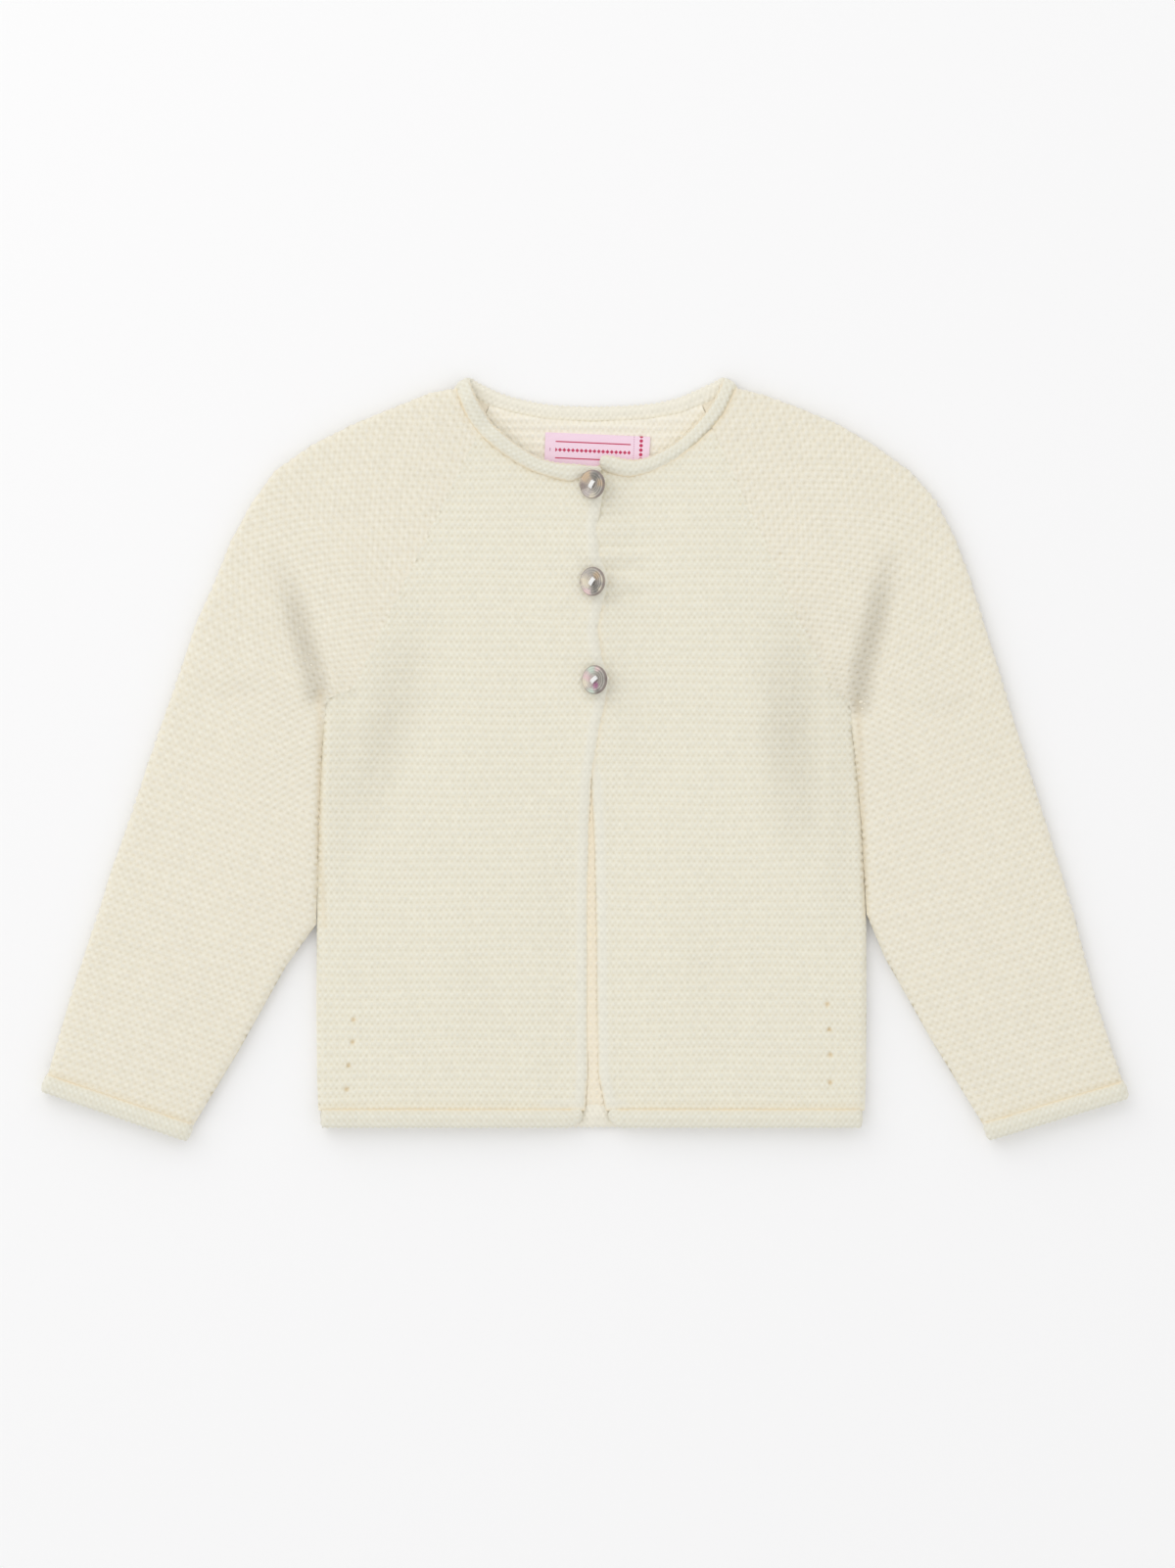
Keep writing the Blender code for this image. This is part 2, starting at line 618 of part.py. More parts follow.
def roll_section(width, height):
    """The outer and inner lines of a rolled edge's section.

    The first number of each point runs from the seam to the fold, and the second out from the cloth.
    The wall starts flat at the seam, turns over the fold and comes back to just above its start.
    """
    wall = min(ROLL_WALL, height * ROLL_WALL_SHARE)
    half = wall / 2
    reach, rise = width / 2 - half, height / 2 - half
    line, ways = [np.array([0.0, half])], [np.array([0.0, -1.0])]
    for turn in np.radians((-90.0, -45.0, 0.0, 45.0, 90.0, 130.0, 158.0)):
        line.append(np.array([width / 2 + reach * math.cos(turn), height / 2 + rise * math.sin(turn)]))
        ways.append(unit(np.array([math.cos(turn) / reach, math.sin(turn) / rise])))
    line.append(np.array([half, wall + ROLL_TUCK]))
    ways.append(np.array([-1.0, 0.0]))
    outer = [point + way * half for point, way in zip(line, ways)]
    inner = [point - way * half for point, way in zip(line, ways)]
    return outer, inner


def roll(name, stations, ring=False):
    """Sweeps the rolled edge through stations of (seam, towards the fold, out, width, height)."""
    outer, inner = [], []
    for seam, toward, out, width, height in stations:
        line_out, line_in = roll_section(width, height)
        outer.append([seam + toward * a + out * b for a, b in line_out])
        inner.append([seam + toward * a + out * b for a, b in line_in])
    return loft(name, outer, inner, "cream_roll", ring)


def neck_roll(name):
    """The neck roll: on top along the fronts, round each shoulder fold and under the back's edge."""
    rows = np.arange(len(NECK["layer"]))
    places = []
    for row in rows:
        places.append(float(row))
        if row < rows[-1] and NECK["layer"][row] != NECK["layer"][row + 1]:
            places.append(row + 0.5)
    stations = []
    for place in places:
        now = {column: np.interp(place, rows, values) for column, values in NECK.items()}
        seam, fold = flat(now["seam_x"], now["seam_y"]), flat(now["fold_x"], now["fold_y"])
        toward = unit(fold - seam)
        turn = now["layer"] * math.pi / 2
        side = -1.0 if seam[0] < 0 else 1.0
        away = flat(toward[1], -toward[0]) * side
        out = moved(away * math.cos(turn), math.sin(turn))
        if now["layer"] == 1.0:
            front_side = "right" if place < NECK_RIGHT_FRONT else "left"
            on_front = place <= NECK_RIGHT_FRONT or place >= NECK_LEFT_FRONT
            level = front_height(front_side, seam) if on_front else upper_height(seam)
            base = moved(seam, level - WALL)
        else:
            base = moved(seam, FOLD_Z) + out * ROLL_GAP
        stations.append((base, toward, out, np.linalg.norm(fold - seam), now["height"]))
    return roll(name, stations)


def cuff_roll(name, table):
    """The closed ring round a cuff, on top of the upper layer and under the lower one."""
    fold = flat(table["fold_x"][-1], table["fold_y"][-1])
    seam = flat(table["front_x"][-1], table["front_y"][-1])
    along = unit(fold - seam)
    toward = flat(along[1], -along[0])
    toward *= -np.sign(toward[1])
    reach = ROLL_GAP + WALL
    near, far = seam + along * reach, fold - along * reach
    start = toward * SEAM
    stations = []
    for share in np.linspace(0.0, 1.0, 6):
        place = near + (far - near) * share + start
        base = moved(place, upper_height(place) - WALL)
        stations.append((base, toward, np.array([0.0, 0.0, 1.0]), ROLL_WIDTH, ROLL_TOP))
    for turn in np.radians((45.0, 0.0, -45.0)):
        out = moved(along * math.cos(turn), math.sin(turn))
        base = moved(far + start, FOLD_Z) + out * ROLL_GAP
        height = ROLL_SIDE + (ROLL_TOP - ROLL_SIDE) * max(math.sin(turn), 0.0) * 0.5
        stations.append((base, toward, out, ROLL_WIDTH, height))
    for share in np.linspace(1.0, 0.0, 4):
        base = moved(near + (far - near) * share + start, FOLD_Z - ROLL_GAP)
        stations.append((base, toward, np.array([0.0, 0.0, -1.0]), ROLL_WIDTH, ROLL_UNDER))
    for turn in np.radians((-45.0, 0.0, 45.0)):
        out = moved(-along * math.cos(turn), math.sin(turn))
        base = moved(near + start, FOLD_Z) + out * ROLL_GAP
        height = ROLL_SIDE + (ROLL_TOP - ROLL_SIDE) * max(math.sin(turn), 0.0) * 0.5
        stations.append((base, toward, out, ROLL_WIDTH, height))
    return roll(name, stations, ring=True)


def hem_turn(side_x, away, turn_degrees, shift):
    """A station where a hem roll turns round a side seam. away is -1 or 1 along X."""
    turn = math.radians(turn_degrees)
    out = np.array([away * math.cos(turn), 0.0, math.sin(turn)])
    base = np.array([side_x - away * (ROLL_SIDE + ROLL_GAP), HEM_Y, FOLD_Z + shift]) + out * ROLL_GAP
    return base, flat(0.0, -1.0), out, ROLL_WIDTH, ROLL_SIDE


def front_hem_roll(name, side):
    """A front's hem roll, from its tapered corner to the side seam."""
    away = -1.0 if side == "right" else 1.0
    side_x = SIDES[side + "_x"][0]
    corner_x = FRONT_EDGES["over_x" if side == "right" else "under_x"][0] + away * HEM_CORNER_INSET
    stop_x = side_x - away * (ROLL_SIDE + ROLL_GAP)
    stations = []
    for share, size in zip(HEM_TAPER["share"], HEM_TAPER["size"]):
        place = flat(corner_x + (stop_x - corner_x) * share, HEM_Y)
        base = moved(place, front_height(side, place) - WALL)
        up = np.array([0.0, 0.0, 1.0])
        stations.append((base, flat(0.0, -1.0), up, ROLL_WIDTH * size, ROLL_TOP * size))
    stations.append(hem_turn(side_x, away, 45.0, SEAM / 2))
    stations.append(hem_turn(side_x, away, 0.0, SEAM / 2))
    return roll(name, stations)


def back_hem_roll(name):
    """The back's hem roll, which the garment lies on, from side seam to side seam."""
    right_x, left_x = SIDES["right_x"][0], SIDES["left_x"][0]
    stations = [hem_turn(right_x, -1.0, turn, -SEAM / 2) for turn in (0.0, -45.0)]
    inset = ROLL_SIDE + ROLL_GAP
    for x in np.linspace(right_x + inset, left_x - inset, 9):
        base = np.array([x, HEM_Y, FOLD_Z - ROLL_GAP])
        stations.append((base, flat(0.0, -1.0), np.array([0.0, 0.0, -1.0]), ROLL_WIDTH, ROLL_UNDER))
    stations += [hem_turn(left_x, 1.0, turn, -SEAM / 2) for turn in (-45.0, 0.0)]
    return roll(name, stations)


# --- Buttons ---------------------------------------------------------------------------------------

# Half of a button's section: distance from its axis and height, down its outer side.
BUTTON_PROFILE = columns(
    "radius height",
    [(0.0, 0.1), (2.4, 0.25), (3.2, 0.7), (4.8, 1.1), (5.9, 0.95), (6.4, 0.15), (6.0, -0.7), (0.0, -1.15)],
)


def bar_cutter(name, centre, size, height):
    """A hidden block that cuts one hole."""
    bm = bmesh.new()
    bmesh.ops.create_cube(bm, size=MM)
    bmesh.ops.scale(bm, vec=(*size, height), verts=bm.verts)
    bmesh.ops.translate(bm, vec=np.array(centre) * MM, verts=bm.verts)
    return hide_cutter(bm, name)


def hide_cutter(bm, name):
    """Turns an edit mesh into an object that only cuts."""
    mesh = bpy.data.meshes.new(name)
    bm.to_mesh(mesh)
    bm.free()
    made = bpy.data.objects.new(name, mesh)
    made.hide_render = True
    made.display_type = "WIRE"
    bpy.data.collections["cutters"].objects.link(made)
    return made


def cut(target, cutter):
    """Cuts a hidden object out of a piece."""
    boolean = target.modifiers.new("cut_" + cutter.name, "BOOLEAN")
    boolean.operation = "DIFFERENCE"
    boolean.object = cutter


def button_centre(number):
    """The middle of a button, with the low side of its rim just clear of the front."""
    radius, height = BUTTON_PROFILE["radius"], BUTTON_PROFILE["height"]
    hang = max(radius * math.sin(BUTTON_TILT) - height * math.cos(BUTTON_TILT))
    x, y = BUTTONS["x"][number], BUTTONS["y"][number]
    return np.array([x, y, TOP + OVER_RISE + BUTTON_CLEAR + hang])


def hole_way(number):
    """The way from a button's middle to its second hole, across and up, in the button's own plane."""
    turn = math.radians(BUTTONS["turn"][number])
    return math.cos(turn), math.sin(turn)


def button(number):
    """A turned shell button with a dished middle and two thread holes, leaning on its low side."""
    name = "button_" + BUTTON_NAMES[number]
    bm = bmesh.new()
    section = zip(BUTTON_PROFILE["radius"], BUTTON_PROFILE["height"])
    points = [bm.verts.new((radius * MM, 0.0, height * MM)) for radius, height in section]
    for one, two in zip(points, points[1:]):
        bm.edges.new((one, two))
    mesh = bpy.data.meshes.new(name)
    bm.to_mesh(mesh)
    bm.free()
    mesh.materials.append(material("shell"))
    made = bpy.data.objects.new(name, mesh)
    bpy.data.collections["cardigan"].objects.link(made)
    turned = made.modifiers.new("turned", "SCREW")
    turned.steps = turned.render_steps = BUTTON_TURNS
    turned.use_merge_vertices = True
    turned.merge_threshold = 0.00001
    turned.use_smooth_shade = True
    across, up = hole_way(number)
    for sign in (-1.0, 1.0):
        bm = bmesh.new()
        radius, offset = BUTTON_HOLE_RADIUS * MM, sign * BUTTON_HOLE_OFFSET * MM
        bmesh.ops.create_cone(
            bm, cap_ends=True, segments=10, radius1=radius, radius2=radius, depth=8 * MM
        )
        bmesh.ops.translate(bm, vec=(offset * across, offset * up, 0.0), verts=bm.verts)
        hole = hide_cutter(bm, f"{name}_hole_{'first' if sign < 0 else 'second'}")
        hole.parent = made
        cut(made, hole)
    made.location = button_centre(number) * MM
    made.rotation_euler = (0.0, -BUTTON_TILT, 0.0)
    return made


def thread(number):
    """The sewing thread: up from the lower front, through both holes of the button and down again."""
    centre = button_centre(number)
    lean = np.array([math.cos(BUTTON_TILT), 0.0, math.sin(BUTTON_TILT)])
    normal = np.array([-math.sin(BUTTON_TILT), 0.0, math.cos(BUTTON_TILT)])
    way = hole_way(number)
    across = lean * way[0] + flat(0.0, 1.0) * way[1]
    foot_z = TOP - UNDER_DROP + SEAM
    points = []
    for sign in (-1.0, 1.0):
        aside = across * sign * BUTTON_HOLE_OFFSET
        under = centre + aside - normal * THREAD_UNDER
        rise = centre + aside + normal * THREAD_RISE
        over = centre + aside * THREAD_BEND + normal * THREAD_OVER
        leg = [moved(under, foot_z), under, rise, over]
        points += leg if sign < 0 else leg[::-1]
    curve = bpy.data.curves.new("thread_" + BUTTON_NAMES[number], "CURVE")
    curve.dimensions = "3D"
    curve.bevel_depth = THREAD_RADIUS * MM
    curve.bevel_resolution = 2
    curve.use_fill_caps = True
    spline = curve.splines.new("POLY")
    spline.points.add(len(points) - 1)
    for knot, point in zip(spline.points, points):
        knot.co = (*(point * MM), 1.0)
    curve.materials.append(material("white_thread"))
    made = bpy.data.objects.new(curve.name, curve)
    bpy.data.collections["cardigan"].objects.link(made)
    return made


# --- The whole cardigan ----------------------------------------------------------------------------


def start_clean():
    for old in list(bpy.data.objects):
        bpy.data.objects.remove(old, do_unlink=True)
    for name in ("cardigan", "cutters"):
        bpy.context.scene.collection.children.link(bpy.data.collections.new(name))


def build():
    start_clean()
    back("back_panel")
    upper = front("front_right", "right")
    front("front_left", "left")
    sleeve("sleeve_right", RIGHT_SLEEVE, (NECK_RIGHT_FRONT, NECK_RIGHT_SHOULDER, NECK_RIGHT_BACK))
    sleeve("sleeve_left", LEFT_SLEEVE, (NECK_LEFT_FRONT, NECK_LEFT_SHOULDER, NECK_LEFT_BACK))
    label("neck_label")
    neck_roll("neck_roll")
    front_hem_roll("hem_roll_right", "right")
    front_hem_roll("hem_roll_left", "left")
    back_hem_roll("hem_roll_back")
    cuff_roll("cuff_roll_right", RIGHT_SLEEVE)
    cuff_roll("cuff_roll_left", LEFT_SLEEVE)
    for number, place in enumerate(zip(BUTTONS["x"], BUTTONS["y"])):
        hole = (place[0] + BUTTONHOLE_SHIFT, place[1], TOP)
        cut(upper, bar_cutter("buttonhole_" + BUTTON_NAMES[number], hole, BUTTONHOLE, 4 * WALL))
        button(number)
        thread(number)


build()
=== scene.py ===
# %% [markdown]
# # A baby cardigan in garter stitch, laid flat
# The real cardigan is knitted in panels from a soft cream yarn, sewn along raglan seams, and left to
# roll up at its neck, hem and cuffs. Its solids are already made. Here each panel gets its stitches, the
# rolled edges get their purl rows, and the buttons, thread and label get their finish. The solids are
# loaded first, because every stitch is laid on them.

# %% Load the solids
import json
import math

import bmesh
import bpy
import numpy as np
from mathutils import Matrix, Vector, kdtree
from mathutils.bvhtree import BVHTree
from mathutils.geometry import delaunay_2d_cdt

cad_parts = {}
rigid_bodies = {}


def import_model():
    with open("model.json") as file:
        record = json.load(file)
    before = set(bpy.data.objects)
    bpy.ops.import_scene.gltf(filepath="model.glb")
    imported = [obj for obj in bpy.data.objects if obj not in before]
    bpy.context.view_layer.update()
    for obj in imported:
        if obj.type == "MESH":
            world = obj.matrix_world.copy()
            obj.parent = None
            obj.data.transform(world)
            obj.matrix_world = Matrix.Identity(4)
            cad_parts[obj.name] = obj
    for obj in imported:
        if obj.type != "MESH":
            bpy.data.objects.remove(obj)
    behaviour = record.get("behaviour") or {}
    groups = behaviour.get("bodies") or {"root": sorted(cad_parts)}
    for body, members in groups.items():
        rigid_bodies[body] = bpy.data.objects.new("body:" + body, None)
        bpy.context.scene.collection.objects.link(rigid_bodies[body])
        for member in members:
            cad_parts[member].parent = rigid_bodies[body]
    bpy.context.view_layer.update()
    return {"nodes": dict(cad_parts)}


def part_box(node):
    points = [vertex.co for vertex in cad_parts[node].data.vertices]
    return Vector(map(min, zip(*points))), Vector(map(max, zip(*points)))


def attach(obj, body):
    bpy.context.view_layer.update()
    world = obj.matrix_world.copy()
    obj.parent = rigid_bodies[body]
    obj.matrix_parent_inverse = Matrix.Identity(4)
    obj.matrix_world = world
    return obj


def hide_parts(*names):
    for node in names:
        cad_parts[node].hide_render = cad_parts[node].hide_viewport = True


for thing in list(bpy.data.objects):
    bpy.data.objects.remove(thing, do_unlink=True)
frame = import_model()
nodes = frame["nodes"]
MM = 0.001
bpy.ops.object.select_all(action="DESELECT")
print("solids:", ", ".join(sorted(nodes)))

# %% [markdown]
# ## Camera and light
# The cardigan lies on a white table and is seen from straight above. A long lens keeps the view almost
# parallel, so both cuffs show the same. Nearly all of the light is a white sky, and one very large lamp at
# the upper left draws the stitches and drops a faint, soft shadow on the right and below.

# %% Camera
VIEW_WIDTH = 516 * MM
VIEW_CENTRE = (1.2 * MM, -10.5 * MM)
CAMERA_HEIGHT = 3.2
CLOTH_TOP = 7 * MM

bpy.ops.object.camera_add(location=(*VIEW_CENTRE, CAMERA_HEIGHT), rotation=(0, 0, 0))
camera = bpy.context.object
camera.name = "camera"
camera.data.sensor_fit = "HORIZONTAL"
camera.data.lens = camera.data.sensor_width * (CAMERA_HEIGHT - CLOTH_TOP) / VIEW_WIDTH
bpy.context.scene.camera = camera
print("lens", round(camera.data.lens), "mm")

# %% Table and lamps
bpy.ops.mesh.primitive_plane_add(size=6, location=(0, 0, -0.05 * MM))
table = bpy.context.object
table.name = "table"
table_finish = bpy.data.materials.new("table_white")
table_finish.use_nodes = True
table_shader = table_finish.node_tree.nodes["Principled BSDF"]
table_shader.inputs["Base Color"].default_value = (0.945, 0.945, 0.95, 1)
table_shader.inputs["Roughness"].default_value = 0.9
table.data.materials.append(table_finish)


def soft_lamp(name, place, size, watts, colour):
    """A square lamp that looks at the middle of the cardigan."""
    bpy.ops.object.light_add(type="AREA", location=place)
    lamp = bpy.context.object
    lamp.name = name
    lamp.data.size = size
    lamp.data.energy = watts
    lamp.data.color = colour
    lamp.rotation_euler = (-Vector(place)).to_track_quat("-Z", "Y").to_euler()
    return lamp


soft_lamp("key_lamp", (-1.3, 1.3, 1.5), 2.4, 13, (1.0, 0.985, 0.96))
sky = bpy.data.worlds.new("white_sky")
sky.use_nodes = True
sky.node_tree.nodes["Background"].inputs["Color"].default_value = (1.0, 1.0, 1.0, 1)
sky.node_tree.nodes["Background"].inputs["Strength"].default_value = 0.885
bpy.context.scene.world = sky
bpy.context.scene.view_settings.view_transform = "Standard"

# %% [markdown]
# ## Wool
# Cream wool is matt, with a soft bloom at its edges from loose fibres. Every piece of knitting shares one
# group of nodes. It paints shade into the valleys, darker and warmer than the bumps, gives each stitch its
# own slight tone, and adds the twist and fuzz of the yarn as fine bump. A mesh attribute called look says
# where the colours go: its three numbers are the height in the stitch, the painted warm shade at a seam, a
# pit or the opening, and the smooth edge. Another, called sunk, says where the cloth lies pressed together
# in a crease or a pit, and paints shade there.

# %% Small tools for materials
def given_values(tree, node, values):
    """Sets a node's first inputs: each value is a number, a vector or another node's output."""
    for socket, value in zip(node.inputs, values):
        if isinstance(value, bpy.types.NodeSocket):
            tree.links.new(value, socket)
        else:
            socket.default_value = value
    return node


def maths(tree, operation, *values):
    node = tree.nodes.new("ShaderNodeMath")
    node.operation = operation
    return given_values(tree, node, values).outputs[0]


def vectors(tree, operation, *values):
    node = tree.nodes.new("ShaderNodeVectorMath")
    node.operation = operation
    return given_values(tree, node, values).outputs["Value" if operation == "LENGTH" else "Vector"]


def spread(tree, value, low, high, to_low, to_high):
    """A value carried over from one range to another."""
    node = tree.nodes.new("ShaderNodeMapRange")
    return given_values(tree, node, (value, low, high, to_low, to_high)).outputs["Result"]


def blended(tree, share, one, two):
    """A colour between two, each a plain (red, green, blue) or another node's output."""
    mix = tree.nodes.new("ShaderNodeMix")
    mix.data_type = "RGBA"
    for socket, value in ((mix.inputs["Factor"], share), (mix.inputs["A"], one), (mix.inputs["B"], two)):
        if isinstance(value, tuple):
            socket.default_value = (*value, 1)
        else:
            tree.links.new(value, socket)
    return mix.outputs["Result"]


def noise(tree, vector, scale, detail=2.0, roughness=0.5, output="Fac"):
    node = tree.nodes.new("ShaderNodeTexNoise")
    for name, value in (("Scale", scale), ("Detail", detail), ("Roughness", roughness)):
        node.inputs[name].default_value = value
    tree.links.new(vector, node.inputs["Vector"])
    return node.outputs[output]


def bumped(tree, height, strength, distance):
    """A normal shaken by a height. The distance is in millimetres."""
    node = tree.nodes.new("ShaderNodeBump")
    node.inputs["Strength"].default_value = strength
    node.inputs["Distance"].default_value = distance * MM
    tree.links.new(height, node.inputs["Height"])
    return node.outputs["Normal"]


def parted(tree, vector):
    """The three numbers of a vector."""
    node = tree.nodes.new("ShaderNodeSeparateXYZ")
    tree.links.new(vector, node.inputs[0])
    return node.outputs


def uv_of(tree, name):
    node = tree.nodes.new("ShaderNodeUVMap")
    node.uv_map = name
    return node.outputs["UV"]


def place_of(tree):
    return tree.nodes.new("ShaderNodeTexCoord").outputs["Object"]


def new_finish(name, roughness):
    """A new material with its tree of nodes and its shader."""
    finish = bpy.data.materials.new(name)
    finish.use_nodes = True
    shader = finish.node_tree.nodes["Principled BSDF"]
    shader.inputs["Roughness"].default_value = roughness
    return finish, finish.node_tree, shader


# %% The wool group
WOOL_COLOURS = ("Crest colour", "Valley colour", "Seam colour", "Edge colour")
# The colour of painted shade, where the cloth is pressed into a crease or a pit.
SUNK_SHADE = (0.80, 0.79, 0.78)
EDGE_SHARE = 0.7
EDGE_VALLEY, EDGE_CREST = 0.91, 1.04  # painted shade on the edge colour in a valley, and painted light on it on a bump
TONES, CLOUDS = (0.97, 1.015), (0.985, 1.01)  # how far the tone strays, by stitch and over wide patches
CLOUD_SCALE, FIBRE_SCALE = 38, 1500


def wool_group():
    """The group of nodes that all knitting shares: four colours go in, a colour and a normal come out."""
    group = bpy.data.node_groups.new("wool", "ShaderNodeTree")
    for name in WOOL_COLOURS:
        group.interface.new_socket(name, in_out="INPUT", socket_type="NodeSocketColor")
    group.interface.new_socket("Colour", in_out="OUTPUT", socket_type="NodeSocketColor")
    group.interface.new_socket("Normal", in_out="OUTPUT", socket_type="NodeSocketVector")
    given, result = group.nodes.new("NodeGroupInput"), group.nodes.new("NodeGroupOutput")
    look = group.nodes.new("ShaderNodeAttribute")
    look.attribute_name = "look"
    crest, seam, edge = parted(group, look.outputs["Vector"])

    half_stitch = vectors(group, "MULTIPLY_ADD", uv_of(group, "stitches"), (2, 2, 1), (0.5, 0.5, 0))
    tone = group.nodes.new("ShaderNodeTexWhiteNoise")
    group.links.new(vectors(group, "FLOOR", half_stitch), tone.inputs["Vector"])
    tone = spread(group, tone.outputs["Value"], 0, 1, *TONES)
    cloud = spread(group, noise(group, place_of(group), CLOUD_SCALE, 3), 0, 1, *CLOUDS)
    # Painted shade where the cloth is pressed into a crease or a pit.
    sunk = group.nodes.new("ShaderNodeAttribute")
    sunk.attribute_name = "sunk"
    shade = blended(group, parted(group, sunk.outputs["Vector"])[0], (1.0, 1.0, 1.0), SUNK_SHADE)

    # Painted shade: the valley colour darkens and warms the cloth between the bumps.
    valley_crest = [given.outputs[name] for name in WOOL_COLOURS[1::-1]]
    colour = blended(group, crest, *valley_crest)
    rim_tone = spread(group, crest, 0, 1, EDGE_VALLEY, EDGE_CREST)
    rim = vectors(group, "MULTIPLY", given.outputs["Edge colour"], rim_tone)
    colour = blended(group, maths(group, "MULTIPLY", edge, EDGE_SHARE), colour, rim)
    # Painted warm shade at seams, in pits and in the opening.
    colour = blended(group, seam, colour, given.outputs["Seam colour"])
    colour = vectors(group, "MULTIPLY", colour, maths(group, "MULTIPLY", tone, cloud))
    colour = vectors(group, "MULTIPLY", colour, shade)
    group.links.new(colour, result.inputs["Colour"])
    fibre = noise(group, place_of(group), FIBRE_SCALE, 4, 0.65)
    group.links.new(bumped(group, fibre, 0.45, 0.35), result.inputs["Normal"])
    return group


wool = wool_group()


def wool_finish(name, *colours):
    """A wool material in its colours: crest, valley, seam and edge, each (red, green, blue); the valley
    colour is painted shade, the seam colour painted warm shade.
    """
    finish, tree, shader = new_finish(name, 0.95)
    shader.inputs["Specular IOR Level"].default_value = 0.2
    shader.inputs["Sheen Weight"].default_value = 0.25
    shader.inputs["Sheen Roughness"].default_value = 0.6
    group = tree.nodes.new("ShaderNodeGroup")
    group.node_tree = wool
    for socket, colour in zip(group.inputs, colours):
        socket.default_value = (*colour, 1)
    tree.links.new(group.outputs["Colour"], shader.inputs["Base Color"])
    tree.links.new(group.outputs["Normal"], shader.inputs["Normal"])
    return finish


PAINTED_WARM_SHADE = (0.84, 0.70, 0.47)  # painted warm shade at seams, in pits and in the opening
EDGING = (0.85, 0.83, 0.73)
body_wool = wool_finish("cream_garter", (0.905, 0.885, 0.775), (0.795, 0.74, 0.58), PAINTED_WARM_SHADE, EDGING)
sleeve_wool = wool_finish("cream_garter_sleeve", (0.91, 0.877, 0.768), (0.795, 0.73, 0.57), PAINTED_WARM_SHADE, EDGING)
INSIDE = (0.93, 0.885, 0.765)
# The back's inside is lighter and warmer than the fronts: painted light, for the light that bounces about in
# the slit and the neck.
back_wool = wool_finish("cream_garter_inside", (0.99, 0.955, 0.855), (0.91, 0.845, 0.69), PAINTED_WARM_SHADE, INSIDE)
roll_wool = wool_finish("cream_purl", (0.865, 0.85, 0.75), (0.75, 0.71, 0.575), PAINTED_WARM_SHADE, INSIDE)
print("wool:", [finish.name for finish in bpy.data.materials if finish.name.startswith("cream_")])

# %% [markdown]
# ## Where the stitches lie
# Garter stitch is counted in stitches across and ridges up. On the body both run straight. On a sleeve
# the ridges stay square to the arm, so they turn as the arm bends out from the neck. Each knitting is a
# small class that turns stitch counts into places on the table and back again.

# %% Straight and bent knitting
BODY_STITCH, BODY_RIDGE = 2.53 * MM, 3.56 * MM
SLEEVE_STITCH, SLEEVE_RIDGE = 3.25 * MM, 3.56 * MM
ZIGZAG = 0.05  # how far a ridge steps up and down from stitch to stitch, in ridges
WAVE_SIZE = 0.28 * MM
# Two waves that shift the rows across, and two that shift them up: radians for each millimetre of x and
# of y, radians for the seed, and size.
WAVES = (
    ((0.071, 0.043, 1.0, 1.0), (-0.052, 0.131, 2.1, 0.7)),
    ((0.055, -0.031, 1.7, 1.0), (0.118, 0.09, 0.6, 0.6)),
)
PAST_END = 30.0  # a bent line runs straight on by this much at each end
BEND_OVER = 33  # its bends are smoothed over this many millimetres
AT_ONCE = 4000  # places worked out at one time, to spare memory


def slow_wave(places, seed):
    """Small uneven shifts of the rows, as hands and washing leave them."""
    x, y = places.T / MM
    across, up = (
        sum(size * np.sin(by_x * x + by_y * y + by_seed * seed) for by_x, by_y, by_seed, size in pair)
        for pair in WAVES
    )
    return np.column_stack([across, up]) * WAVE_SIZE


class StraightKnit:
    """Knitting whose ridges run across the table."""

    def __init__(self, seed):
        self.seed = seed
        self.stitch, self.ridge = BODY_STITCH, BODY_RIDGE

    def places(self, stitches):
        plain = stitches * (self.stitch, self.ridge)
        return plain + slow_wave(plain, self.seed)

    def stitches(self, places):
        return (places - slow_wave(places, self.seed)) / (self.stitch, self.ridge)


